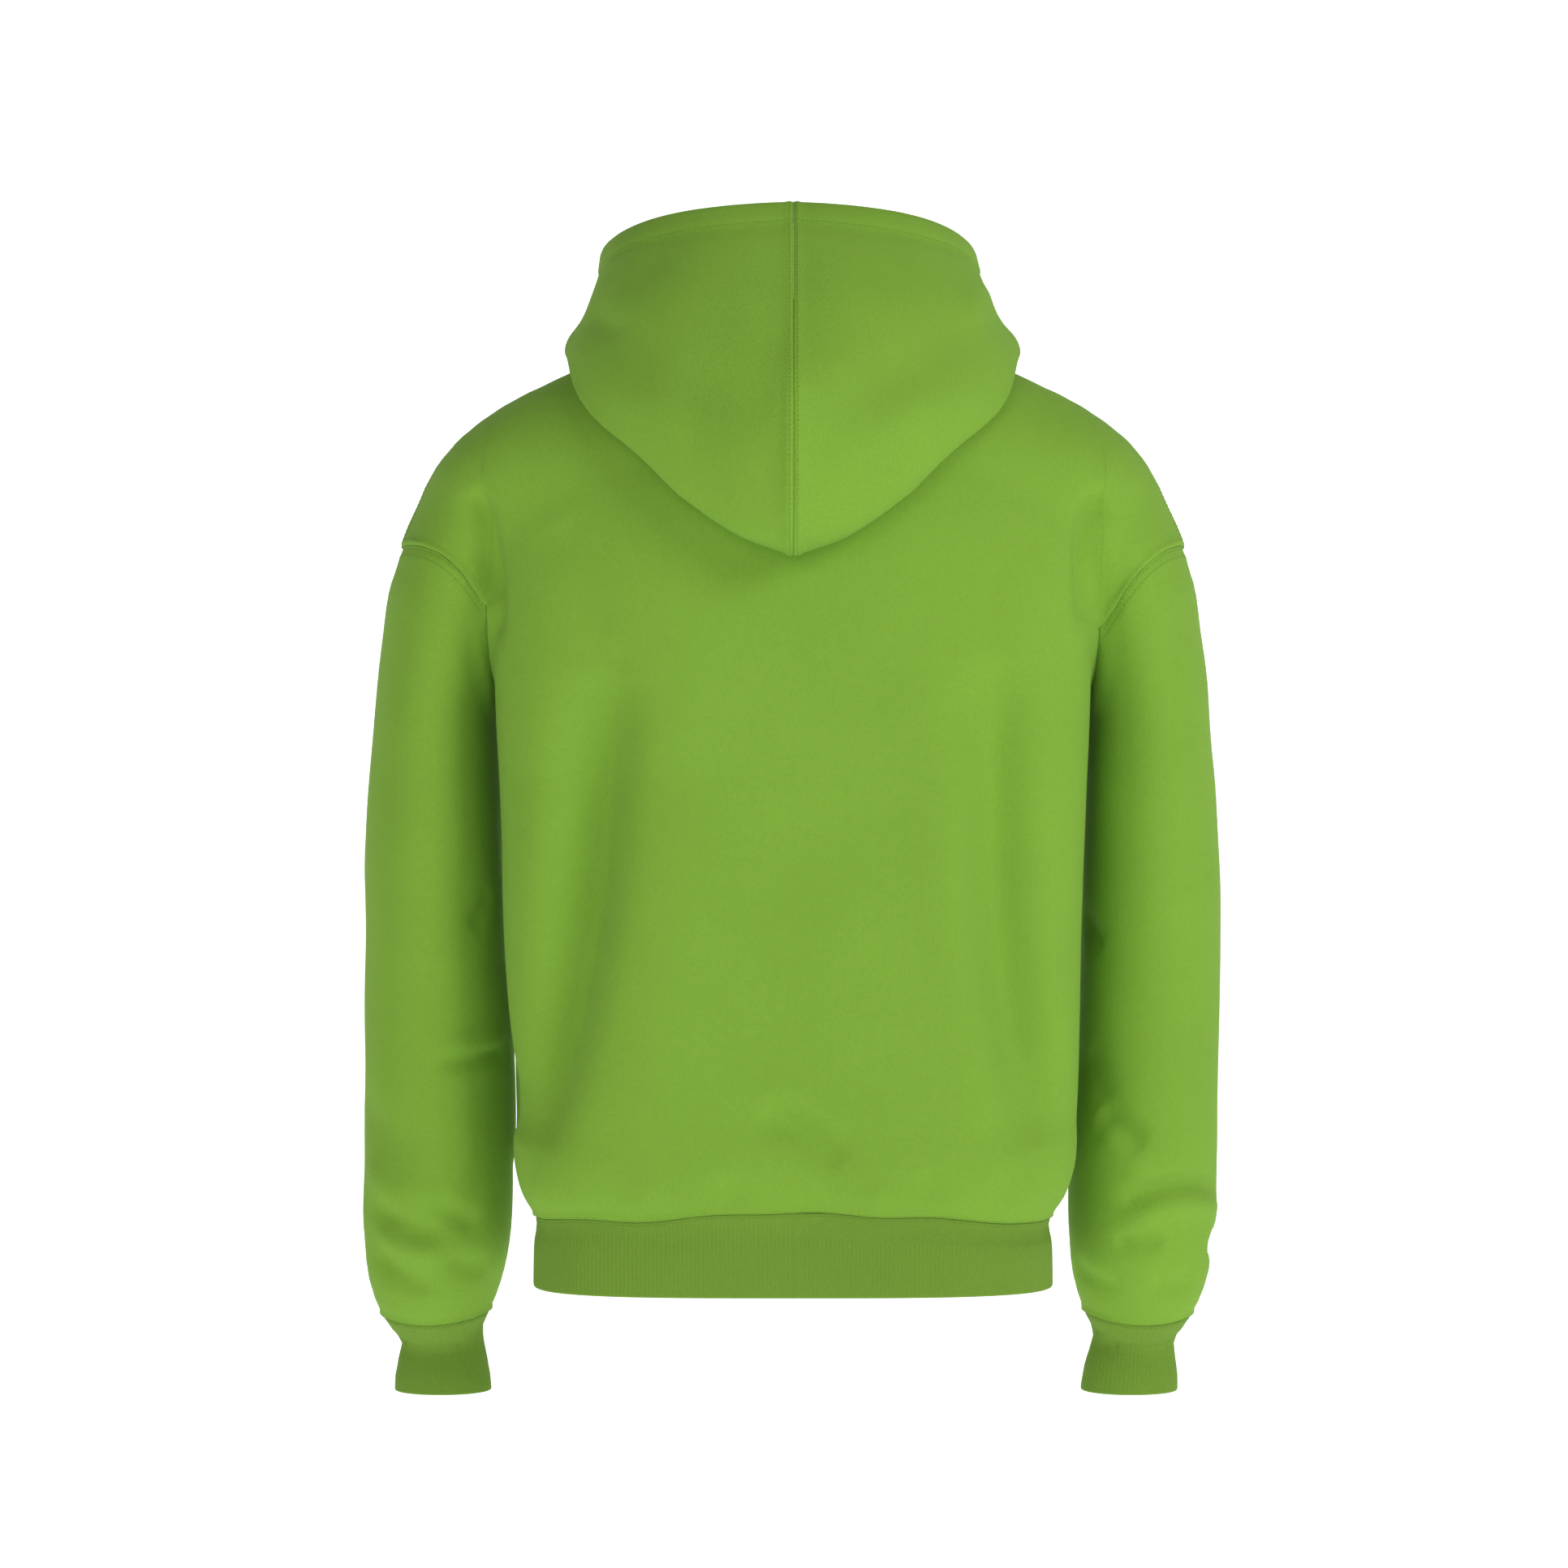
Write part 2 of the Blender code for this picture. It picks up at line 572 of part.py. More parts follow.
def hood_half(quarters, side):
    """Half of the hood from centre back to centre front; rows run from the neck to the rim."""
    neck = np.concatenate([quarters[side, 1][0][-1, :NECK_COLUMNS + 1],
                           quarters[side, -1][0][-1, NECK_COLUMNS - 1::-1]])
    angles = np.linspace(0, 180, len(neck))
    narrow = 1.0 if side > 0 else RIGHT_RIM
    columns = []
    for seam, angle in zip(neck, angles):
        turn = np.radians(angle)
        out = np.array([side * np.sin(turn), np.cos(turn), 0.0])
        up = np.array([0.0, 0.0, 1.0])

        def at(name, share=1.0):
            reach, height = (column(HOOD, f"{name}_{part}", angle) for part in "rz")
            squeeze = 1 - (1 - narrow) * share * abs(np.sin(turn))
            return reach * squeeze * out + height * up

        rise, run = column(HOOD, "stand", angle), column(HOOD, "roll", angle)
        stand = seam + rise * up + run / 4 * out
        roll = seam + (rise + 0.004) * up + run * out
        heel = at("heel", 0.0)
        points = np.array([seam, stand, roll, (roll + heel) / 2, heel, at("low", 0.0),
                           at("wide", 0.0), at("mid", 0.5), at("rim")])
        knots = np.r_[0, np.cumsum(np.linalg.norm(np.diff(points, axis=0), axis=1))]
        under = np.interp(UNDERSIDE_LINES, np.arange(len(points)), knots)
        over = np.linspace(under[-1], knots[-1] - EDGE_DEPTH, OVERSIDE_ROWS + 1)
        rows = np.concatenate([under, over[1:], knots[-1:]])
        columns.append(np.stack([through(knots, points[:, k], rows) for k in range(3)], axis=1))
    grid = np.stack(columns, axis=1)
    grid = lift_off(grid)
    for _ in range(SMOOTH_ROUNDS):
        onward, back = grid[2:-1] - grid[1:-2], grid[:-3] - grid[1:-2]
        near = np.minimum(np.linalg.norm(onward, axis=-1), np.linalg.norm(back, axis=-1))
        share = 0.25 * np.clip(1 - near / CROWDED, 0, 1)
        grid[1:-2] += share[..., None] * (onward + back)
    grid = lift_off(grid)
    grid[:, [0, -1], 0] = 0.0
    along, across = np.gradient(grid, axis=0), np.gradient(grid, axis=1)
    lay = np.cross(along, across) * side
    lay[:, [0, -1], 0] = 0.0
    lay /= np.linalg.norm(lay, axis=-1, keepdims=True)
    return grid, lay


collection = bpy.data.collections.new("pullover_hoodie")
bpy.context.scene.collection.children.link(collection)
quarters = body_panels()
for name, face, colour in (("back_panel", 1, GREEN), ("front_panel", -1, GREEN)):
    add_piece(name, *wall(*whole_panel(quarters, face)), colour, collection)
add_piece("hem_rib", *wall(*hem(quarters), RIB, closed=True), RIB_GREEN, collection)
for word, side in (("left", 1), ("right", -1)):
    grid, lay = sleeve(quarters, side)
    add_piece(f"sleeve_{word}", *wall(grid, lay, closed=True), GREEN, collection)
    cuff_grid, cuff_lay = cuff(side, grid[-1], lay[-1])
    add_piece(f"cuff_{word}", *wall(cuff_grid, cuff_lay, RIB, closed=True), RIB_GREEN,
              collection)
    grid, lay = hood_half(quarters, side)
    thickness = np.full((len(grid), 1), FLEECE)
    thickness[-2:] = TURNED_EDGE
    add_piece(f"hood_{word}", *wall(grid, lay, thickness), GREEN, collection)
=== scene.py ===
import bpy
import numpy as np
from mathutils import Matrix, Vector, kdtree, noise


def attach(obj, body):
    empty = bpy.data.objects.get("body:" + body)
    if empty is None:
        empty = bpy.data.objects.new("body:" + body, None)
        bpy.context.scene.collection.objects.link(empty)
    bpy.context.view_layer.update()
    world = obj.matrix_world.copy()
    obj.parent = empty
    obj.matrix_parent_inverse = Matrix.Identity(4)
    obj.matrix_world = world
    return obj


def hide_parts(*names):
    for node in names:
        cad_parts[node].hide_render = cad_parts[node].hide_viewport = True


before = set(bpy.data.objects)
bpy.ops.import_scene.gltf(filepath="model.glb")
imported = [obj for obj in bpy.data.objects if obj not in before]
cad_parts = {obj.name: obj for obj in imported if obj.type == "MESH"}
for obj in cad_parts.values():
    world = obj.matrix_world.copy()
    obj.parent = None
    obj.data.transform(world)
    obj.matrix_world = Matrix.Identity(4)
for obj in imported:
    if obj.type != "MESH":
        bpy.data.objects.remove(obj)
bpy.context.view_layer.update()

# Studio: a plain pale sweep of floor and wall, with a broad soft light high on one side
# and a weaker one in front. The camera stands behind the garment at the height of its middle.
FLOOR_HEIGHT = -0.93
SWEEP_BACK = -2.6               # where the floor turns up into the wall
SWEEP_RADIUS = 1.2
SWEEP_HALF_WIDTH = 6.0
SWEEP_FRONT = 5.0
SWEEP_TOP = 5.0
CAMERA_PLACE = (0.0066, 2.6, -0.3048)
CAMERA_LENS = 80.745
PAPER_GLOW = 0.68               # light the paper gives off, so that it reads as white
AIR_LIGHT = 0.20                # what the air gives the garment
AIR_SEEN = 1.0                  # what shows past the sweep's edge
LAMPS = (("key_light", (-2.3, 1.9, 1.3), 42.0, 1.3),     # name, place, watts, size
         ("front_light", (1.2, 2.9, 0.6), 17.0, 1.6))
LAMP_AIM = (0.0, 0.0, -0.3)

scene = bpy.context.scene
scene.view_settings.view_transform = "Standard"
camera = bpy.data.objects.new("camera", bpy.data.cameras.new("camera"))
camera.data.lens = CAMERA_LENS
camera.data.sensor_width = 36.0
camera.data.clip_end = 50.0
camera.location = CAMERA_PLACE
camera.rotation_euler = (np.pi / 2, 0.0, np.pi)
scene.collection.objects.link(camera)
scene.camera = camera

turn = np.linspace(0, np.pi / 2, 17)
sweep_y = np.r_[SWEEP_FRONT, SWEEP_BACK - SWEEP_RADIUS * np.sin(turn), SWEEP_BACK - SWEEP_RADIUS]
sweep_z = np.r_[0.0, SWEEP_RADIUS * (1 - np.cos(turn)), SWEEP_TOP] + FLOOR_HEIGHT
sweep_points = [(x, y, z) for x in (-SWEEP_HALF_WIDTH, SWEEP_HALF_WIDTH)
                for y, z in zip(sweep_y, sweep_z)]
count = len(sweep_y)
sweep_mesh = bpy.data.meshes.new("studio_sweep")
sweep_mesh.from_pydata(sweep_points, [], [(i, i + 1, count + i + 1, count + i)
                                          for i in range(count - 1)])
sweep_mesh.shade_smooth()
paper = bpy.data.materials.new("studio_paper")
paper.use_nodes = True
for name, value in (("Base Color", (0.93, 0.93, 0.93, 1)), ("Roughness", 1.0),
                    ("Specular IOR Level", 0.0), ("Emission Color", (1, 1, 1, 1)),
                    ("Emission Strength", PAPER_GLOW)):
    paper.node_tree.nodes["Principled BSDF"].inputs[name].default_value = value
sweep_mesh.materials.append(paper)
sweep = bpy.data.objects.new("studio_sweep", sweep_mesh)
scene.collection.objects.link(sweep)

world = bpy.data.worlds.new("studio_air")
world.use_nodes = True
air = world.node_tree.nodes["Background"]
air.inputs["Color"].default_value = (1.0, 1.0, 1.0, 1)
seen = world.node_tree.nodes.new("ShaderNodeLightPath")
strength = world.node_tree.nodes.new("ShaderNodeMapRange")
strength.inputs["To Min"].default_value = AIR_LIGHT
strength.inputs["To Max"].default_value = AIR_SEEN
world.node_tree.links.new(seen.outputs["Is Camera Ray"], strength.inputs["Value"])
world.node_tree.links.new(strength.outputs[0], air.inputs["Strength"])
scene.world = world
for name, place, power, size in LAMPS:
    lamp = bpy.data.lights.new(name, "AREA")
    lamp.energy = power
    lamp.size = size
    light = bpy.data.objects.new(name, lamp)
    light.location = place
    aim = Vector(LAMP_AIM) - Vector(place)
    light.rotation_euler = aim.to_track_quat("-Z", "Y").to_euler()
    scene.collection.objects.link(light)


# Body: a front and a back panel of heavy sweatshirt fleece, each cut in one piece and sewn
# at the sides and over the shoulders. Filled out, the cloth lies on a trunk and two arms
# that run softly into each other, with long slack folds down the back.
FLEECE = 0.0022                 # thickness of the body, sleeve and hood cloth
SEAM_GAP = 0.00006              # the pieces of cloth touch where they are sewn
HEM_TOP = -0.612
HEM_SIDE_DROP = 0.008
HEM_BOTTOM = -0.670
WIDEST_Y = 0.020
FRONT_SQUARE = 2.2
SIDE_SEAM_Y = -0.016
ARM_ROOT = (SIDE_SEAM_Y, -0.120)
SHOULDER_TIP = (0.291, -0.006, -0.130)
NECK_HALF_WIDTH = 0.090
NECK_HEIGHT = 0.034
NECK_REACH = {1: (0.070, 0.020), -1: (0.112, 0.088)}    # back and front: reach and drop
NECK_CURVE = 1.6
ARMHOLE_FALL = {1: 2.0, -1: 1.6}    # how late the armhole drops, left and right
ROWS_CROWD_DOWN = 1.4
NECK_COLUMNS = 6
SHOULDER_COLUMNS = 5
ARM_COLUMNS = 3
SIDE_COLUMN = NECK_COLUMNS + SHOULDER_COLUMNS
LAST_COLUMN = SIDE_COLUMN + ARM_COLUMNS
YOKE_ROWS = 9
BODY_ROWS = 11
LAST_ROW = BODY_ROWS + YOKE_ROWS
CREASE_ROWS = 3
LEAVE_ROW = BODY_ROWS + CREASE_ROWS
CREASE_SHARE = {1: 0.27, -1: 0.22}      # where the armhole leaves the crease, left and right
PITCH = 0.0042                  # spacing of the fine grids
EDGE_STEPS = np.array([0.0, 0.0003, 0.0008, 0.0014, 0.0022, 0.0034, 0.0052])
EDGE_ROUND = 0.0014             # how far in from an edge its rounding starts
EDGE_STITCH = 0.0026            # how far from its seam a line of stitches runs
SEAM_WELT = (0.0028, 0.0016, 0.0012)    # place, width and rise of the roll beside a seam
HEM_WAVES = ((0.150, 0.0022), (0.104, -0.0016), (0.055, 0.0010), (-0.020, 0.0020),
             (-0.060, -0.0014), (-0.102, 0.0020), (-0.160, -0.0014))     # place and rise
KNIT_DEPTH = 0.00004
PANEL_SLACK = (0.07, 0.0011)    # size and height of the cloth's low swells
CREASE_FADE = (0.012, 0.02)     # where the cloth is free of the crease under the arm
BODY_GREEN = (0.212, 0.412, 0.043)


def table(columns, *rows):
    """A table of sections in millimetres and degrees, read as metres and degrees by column."""
    return {name: values / (1 if name in ("angle", "square") else 1000)
            for name, values in zip(columns.split(), np.array(rows, float).T)}


def folds(*rows):
    """A table of folds; a trough has a negative rise, and the right is the -X side."""
    return table("x_top z_top x_mid z_mid x_foot z_foot right left rise", *rows)


TRUNK = table(
    "height half_width back front square",
    (-670, 189.5, 106, 119, 3.2),
    (-640, 189, 107, 120, 3.1),
    (-620, 188, 108, 121, 3),
    (-605, 198, 115, 128, 3),
    (-585, 205.5, 119, 133, 3),
    (-545, 207.5, 119, 135, 3),
    (-475, 209, 118, 135, 3),
    (-385, 211.8, 119, 137, 3),
    (-300, 214, 121, 139, 3),
    (-226, 218, 122, 140, 3),
    (-160, 222.5, 121, 138, 2.9),
    (-110, 227, 117, 132, 2.7),
    (-80, 227, 112, 124, 2.5),
    (-55, 213, 106, 116, 2.4),
    (-30, 187.7, 97, 106, 2.3),
    (-8, 156, 87, 96, 2.2),
    (15, 125, 76, 86, 2.1),
    (36, 93, 62, 74, 2),
)
ARM = table(
    "height out_left out_right forward half_width half_depth",
    (-762, 264, 254, 56, 36.5, 27),
    (-700, 266.5, 259, 52, 35, 28),
    (-692, 268.5, 259.8, 51.5, 40, 37),
    (-675, 269.5, 260.5, 50, 48, 50),
    (-640, 267.5, 262.5, 47, 54.5, 60),
    (-580, 266.5, 262.5, 43, 55, 66),
    (-500, 267, 265.5, 39, 53.5, 69),
    (-420, 267.5, 268, 36, 52.5, 73),
    (-340, 267.5, 267, 34, 50.5, 78),
    (-283, 266.5, 265.5, 32, 47.5, 80),
    (-235, 263.5, 263, 30, 46, 81),
    (-200, 257, 256.5, 27, 48, 81),
    (-165, 247, 247, 22, 52, 80),
    (-125, 229, 228.5, 16, 55, 80),
    (-90, 206, 205, 10, 55, 78),
    (-66, 171, 170, 5, 47.9, 70),
    (-45, 120, 120, 0, 38, 60),
)
SOFTNESS = table(
    "height blend",
    (-250, 0.3),
    (-226, 8),
    (-190, 14),
    (-150, 18),
    (-110, 30),
    (-70, 50),
    (40, 50),
)
BACK_FOLDS = folds(
    (132, -225, 150, -400, 190, -566, 21, 31, -29),
    (178, -300, 186, -420, 203, -520, 18, 20, 5),
    (78, -300, 90, -430, 115, -570, 30, 30, 3),
    (-146, -215, -151, -400, -178, -565, 21, 26, -21),
    (-115, -300, -118, -420, -142, -550, 22, 22, 4),
    (24, -538, -4, -548, -36, -574, 11, 11, -6.8),
    (24, -518, -6, -526, -40, -548, 14, 14, 2.2),
    (50, -585, 42, -596, 38, -606, 9, 9, -2.4),
    (-90, -580, -96, -593, -99, -605, 10, 10, -2.4),
    (-56, -588, -60, -597, -62, -605, 10, 10, 1.8),
    (102, -583, 104, -595, 105, -606, 11, 11, 1.8),
    (-148, -585, -150, -596, -151, -606, 10, 10, -2),
    (229, -92, 219, -130, 214, -200, 7, 12, -10.5),
    (-225, -98, -210, -118, -208.5, -190, 12, 7, -9.5),
    (170, -120, 150, -150, 140, -200, 22, 22, -2),
    (-165, -115, -150, -150, -142, -205, 22, 22, -2),
)
FRONT_FOLDS = folds(
    (-115, -270, -140, -420, -172, -575, 30, 24, -7),
    (125, -300, 145, -450, 178, -575, 24, 30, -6),
    (20, -470, 50, -530, 90, -585, 22, 30, 3.5),
    (-30, -545, -40, -575, -45, -602, 12, 12, -2.5),
    (110, -575, 112, -590, 113, -604, 11, 11, -2),
    (220, -90, 208, -140, 204, -190, 12, 12, -4),
    (-220, -90, -208, -140, -204, -190, 12, 12, -4),
)


def through(knots, values, at):
    """Smooth curve through the values at rising knots."""
    slopes = np.gradient(values, knots, axis=0)
    i = np.clip(np.searchsorted(knots, at) - 1, 0, len(knots) - 2)
    span = knots[i + 1] - knots[i]
    t = np.clip((at - knots[i]) / span, 0.0, 1.0)
    if values.ndim > 1:
        t, span = (part.reshape((-1,) + (1,) * (values.ndim - 1)) for part in (t, span))
    start = values[i] * (1 + 2 * t) + slopes[i] * span * t
    end = values[i + 1] * (3 - 2 * t) - slopes[i + 1] * span * (1 - t)
    return start * (1 - t) ** 2 + end * t ** 2


def column(rows, name, at):
    """One column of a table at any height, or any angle."""
    return through(rows["angle" if "angle" in rows else "height"], rows[name], at)


def trunk_form(p):
    """How far a point lies outside the trunk's rounded section, measured from its middle."""
    x, y, z = np.abs(p[:, 0]), p[:, 1], p[:, 2]
    half_width = column(TRUNK, "half_width", z)
    y = y - WIDEST_Y
    depth = np.where(y > 0, column(TRUNK, "back", z) - WIDEST_Y,
                     column(TRUNK, "front", z) + WIDEST_Y)
    square = np.where(y > 0, column(TRUNK, "square", z), FRONT_SQUARE)
    reach = ((x / half_width) ** square + (np.abs(y) / depth) ** square) ** (1 / square)
    return np.hypot(x, y) * (1 - 1 / np.maximum(reach, 0.05))


def arm_section(side, heights):
    """The arm's middle line outward and forward, and its half width and half depth."""
    names = ("out_left" if side > 0 else "out_right", "forward", "half_width", "half_depth")
    return [column(ARM, name, heights) for name in names]


def arm_line(side):
    """Centre line, half width and half depth of one arm, sampled from wrist to neck."""
    heights = np.linspace(ARM["height"][0], ARM["height"][-1], 90)
    out, forward, half_width, half_depth = arm_section(side, heights)
    return np.stack([out, -forward, heights], axis=1), half_width, half_depth


ARM_LINES = {side: arm_line(side) for side in (1, -1)}


def tube_distance(p, line):
    centre, half_width, half_depth = line
    start, step = centre[:-1], np.diff(centre, axis=0)
    offset = p[:, None, :] - start
    t = np.clip((offset * step).sum(2) / (step * step).sum(1), 0.0, 1.0)
    radius = half_width[:-1] + t * np.diff(half_width)
    depth = half_depth[:-1] + t * np.diff(half_depth)
    offset = offset - t[..., None] * step
    offset[..., 1] *= radius / depth
    return (np.sqrt((offset ** 2).sum(2)) - radius).min(axis=1)


def arm_form(p):
    distance = np.empty(len(p))
    for side in (1, -1):
        here = (p[:, 0] > 0) == (side > 0)
        if here.any():
            distance[here] = tube_distance(p[here] * (side, 1, 1), ARM_LINES[side])
    return distance


def body_form(p):
    """Trunk and arms joined softly."""
    trunk, arm = trunk_form(p), arm_form(p)
    blend = column(SOFTNESS, "blend", p[:, 2])
    near = np.clip(1 - np.abs(trunk - arm) / blend, 0.0, 1.0)
    return np.minimum(trunk, arm) - near ** 2 * blend / 4


def slope_of(form, p, step=0.0005):
    slope = np.empty_like(p)
    for axis in range(3):
        shift = np.zeros(3)
        shift[axis] = step
        slope[:, axis] = (form(p + shift) - form(p - shift)) / (2 * step)
    return slope


def settle(points, form=body_form, height=0.0, steps=8):
    """Move points onto the form, or to a height above it, by the shortest way."""
    p = points.reshape(-1, 3).copy()
    for _ in range(steps):
        slope = slope_of(form, p)
        steep = np.maximum((slope ** 2).sum(1), 0.05)
        gap = form(p) - height * np.sqrt(steep)
        p -= (gap / steep)[:, None] * slope
    return p.reshape(points.shape)


def outward(points, form=body_form):
    return unit(slope_of(form, points.reshape(-1, 3))).reshape(points.shape)


def run_along(points):
    """Distance along a line of points from its first."""
    return np.r_[0, np.cumsum(np.linalg.norm(np.diff(points, axis=0), axis=1))]


def resample(points, count=0, at=None):
    """Points spaced evenly, or at given fractions, along a curve."""
    length = run_along(points)
    wanted = (np.linspace(0, 1, count + 1) if at is None else at) * length[-1]
    return np.stack([np.interp(wanted, length, points[:, k]) for k in range(3)], axis=1)


def patch(bottom, top, left, right):
    """Grid filled in between four edge curves."""
    u = np.linspace(0, 1, len(bottom))[None, :, None]
    v = np.linspace(0, 1, len(left))[:, None, None]
    rows = (1 - v) * bottom[None] + v * top[None]
    columns = (1 - u) * left[:, None] + u * right[:, None]
    corners = ((1 - u) * (1 - v) * bottom[0] + u * (1 - v) * bottom[-1]
               + (1 - u) * v * top[0] + u * v * top[-1])
    return rows + columns - corners


def trunk_row(height, face, count):
    """Even points from the centre to the side seam at one height of the trunk."""
    y = np.linspace(0.14 * face, SIDE_SEAM_Y, 200)
    x = column(TRUNK, "half_width", height) * np.linspace(0, 1, 200) ** 0.5
    guess = np.stack([x, y, np.full(200, height)], axis=1)
    points = settle(guess, trunk_form)
    points[:, 2] = height
    points[0, 0] = 0.0
    points[-1] = [points[-1, 0], SIDE_SEAM_Y, height]
    return resample(points, count)


def neckline(face, count):
    """Neck seam from the centre back or front round to the neck point."""
    angle = np.linspace(0, np.pi / 2, count + 1)
    reach, drop = NECK_REACH[face]
    y = face * reach * np.cos(angle)
    z = NECK_HEIGHT - drop * np.cos(angle) ** NECK_CURVE
    return np.stack([NECK_HALF_WIDTH * np.sin(angle), y, z], axis=1)


def halve(low, high, beyond):
    """Where a test turns true between low and high, for arrays of either."""
    for _ in range(30):
        middle = (low + high) / 2
        far = beyond(middle)
        low, high = np.where(far, low, middle), np.where(far, middle, high)
    return (low + high) / 2


def crease_line(face, fractions):
    """Line where the arm meets the trunk, from the underarm past the back to the shoulder."""
    angle = np.radians(np.linspace(-90, 90, 60))
    start = np.array(ARM_ROOT)
    way = np.stack([face * np.cos(angle), np.sin(angle)], axis=1)

    def between(reach):
        y, z = (start + reach[:, None] * way).T

        def nearer_arm(x):
            p = np.stack([x, y, z], axis=1)
            return trunk_form(p) > arm_form(p)

        x = halve(np.full(60, 0.10), np.full(60, 0.30), nearer_arm)
        return np.stack([x, y, z], axis=1)

    reach = halve(np.zeros(60), np.full(60, 0.2), lambda r: body_form(between(r)) > 0)
    return resample(between(reach), at=fractions)


def straight(start, end, count):
    return start + np.linspace(0, 1, count + 1)[:, None] * (end - start)


def armhole(side, face, start):
    """Armhole seam from where it leaves the crease, round the arm to the shoulder tip."""
    tip = np.array(SHOULDER_TIP)
    out, forward, half_width, half_depth = arm_section(1, start[2])
    first = np.arctan2(abs(start[1] + forward) / half_depth, (start[0] - out) / half_width)
    angle = np.linspace(first, 0, ARM_COLUMNS + YOKE_ROWS - CREASE_ROWS + 1)
    share = (1 - np.cos(angle)) / (1 - np.cos(first))
    height = tip[2] + (start[2] - tip[2]) * share ** ARMHOLE_FALL[side]
    out, forward, half_width, half_depth = arm_section(1, height)
    x = out + half_width * np.cos(angle)
    y = face * half_depth * np.sin(angle) - forward
    points = np.stack([x, y, height], axis=1)
    points[0], points[-1] = start, tip
    return points


def crease_lay(crease, lay):
    """Directions out of the crease, square to it and midway between trunk and arm."""
    run = np.gradient(crease, axis=0)
    run[0] = [0, 1, 0]
    out = np.cross(run, outward(crease, trunk_form) - outward(crease, arm_form))
    return unit(out * np.sign((out * lay).sum(1, keepdims=True)))


def relax(grid, free, rounds=20):
    """Even out the spacing of the free points while they stay on the form."""
    for _ in range(rounds):
        beside = (np.roll(grid, 1, 0) + np.roll(grid, -1, 0)
                  + np.roll(grid, 1, 1) + np.roll(grid, -1, 1)) / 4
        moved = grid[free] + 0.5 * (beside[free] - grid[free])
        grid[free] = settle(moved, steps=2)


def half_panel(side, face):
    """Grid of half a body panel: hem to underarm, then the yoke with the shoulder."""
    centre_top = neckline(face, NECK_COLUMNS)
    leave = CREASE_SHARE[side]
    crease = crease_line(face, np.r_[np.linspace(0, leave, CREASE_ROWS + 1),
                                     np.linspace(leave, 1, YOKE_ROWS - CREASE_ROWS + 1)[1:]])
    inner = straight(centre_top[-1], crease[-1], SHOULDER_COLUMNS)
    outer = straight(crease[-1], np.array(SHOULDER_TIP), ARM_COLUMNS)
    under = crease[0]
    lower = []
    for step in np.linspace(0, 1, BODY_ROWS + 1) ** ROWS_CROWD_DOWN:
        row = trunk_row(HEM_TOP + step * (under[2] - HEM_TOP), face, SIDE_COLUMN)
        row[:, 2] -= HEM_SIDE_DROP * (1 - step) * (row[:, 0] / row[-1, 0]) ** 2
        lower.append(row)
    lower = np.array(lower)
    lower[-1, -1] = under
    centre = straight(lower[-1, 0], centre_top[0], 40)
    centre = resample(settle(centre), YOKE_ROWS)
    hole = armhole(side, face, crease[CREASE_ROWS])
    grid = np.full((LAST_ROW + 1, LAST_COLUMN + 1, 3), np.nan)
    grid[:BODY_ROWS + 1, :SIDE_COLUMN + 1] = lower
    grid[BODY_ROWS:, :SIDE_COLUMN + 1] = patch(
        lower[-1], np.vstack([centre_top, inner[1:]]), centre, crease)
    grid[LEAVE_ROW:, SIDE_COLUMN:] = patch(
        hole[:ARM_COLUMNS + 1], outer, crease[CREASE_ROWS:], hole[ARM_COLUMNS:])
    real = ~np.isnan(grid[..., 0])
    grid[real] = settle(grid[real] * (side, 1, 1))
    free = real.copy()
    free[:, [0, -1]] = free[[0, -1]] = False
    free[:BODY_ROWS - 2] = free[:LEAVE_ROW + 1, SIDE_COLUMN:] = False
    relax(grid, free)
    grid[:, 0, 0] = 0.0
    lay = np.full_like(grid, np.nan)
    lay[real] = outward(grid[real])
    lay[:, 0, 0] = 0.0
    in_crease = slice(BODY_ROWS, LEAVE_ROW + 1), SIDE_COLUMN
    lay[in_crease] = crease_lay(grid[in_crease], lay[in_crease])
    return grid, lay


def spaced(length, pitch, close):
    """Places along a length, crowded towards the ends that are seams or edges."""
    low, high = (EDGE_STEPS if end else EDGE_STEPS[:1] for end in close)
    middle = np.linspace(low[-1], length - high[-1],
                         max(2, round((length - low[-1] - high[-1]) / pitch) + 1))
    return np.r_[low[:-1], middle, (length - high[::-1])[1:]]


def places(grid, stops, close, pitch=PITCH):
    """Fractional row numbers for a fine grid that keep every stop; close marks crowded ends."""
    step = np.nanmean(np.linalg.norm(np.diff(grid, axis=0), axis=-1), axis=1)
    length = np.r_[0, np.cumsum(step)]
    found = [np.array([float(stops[0])])]
    for start, end, ends in zip(stops, stops[1:], close):
        along = spaced(length[end] - length[start], pitch, ends) + length[start]
        at = np.interp(along, length, np.arange(len(length)))
        at[-1] = end
        found.append(at[1:])
    return np.concatenate(found)


def along_rows(grid, at):
    return through(np.arange(len(grid)), grid, at)


def along_columns(grid, at):
    return along_rows(grid.swapaxes(0, 1), at).swapaxes(0, 1)


def unit(v):
    return v / np.linalg.norm(v, axis=-1, keepdims=True)


def nearest(points, line):
    """Distance from each point to the closest point of a line."""
    tree = kdtree.KDTree(len(line))
    for k, p in enumerate(line.tolist()):
        tree.insert(p, k)
    tree.balance()
    return np.array([tree.find(p)[2] for p in points.reshape(-1, 3).tolist()])


def ease(x):
    """Smooth step from 0 to 1."""
    x = np.clip(x, 0.0, 1.0)
    return x * x * (3 - 2 * x)


def fade(gap, start, width):
    """0 as far as the start, then softly up to 1 over the width."""
    return ease((gap - start) / width)


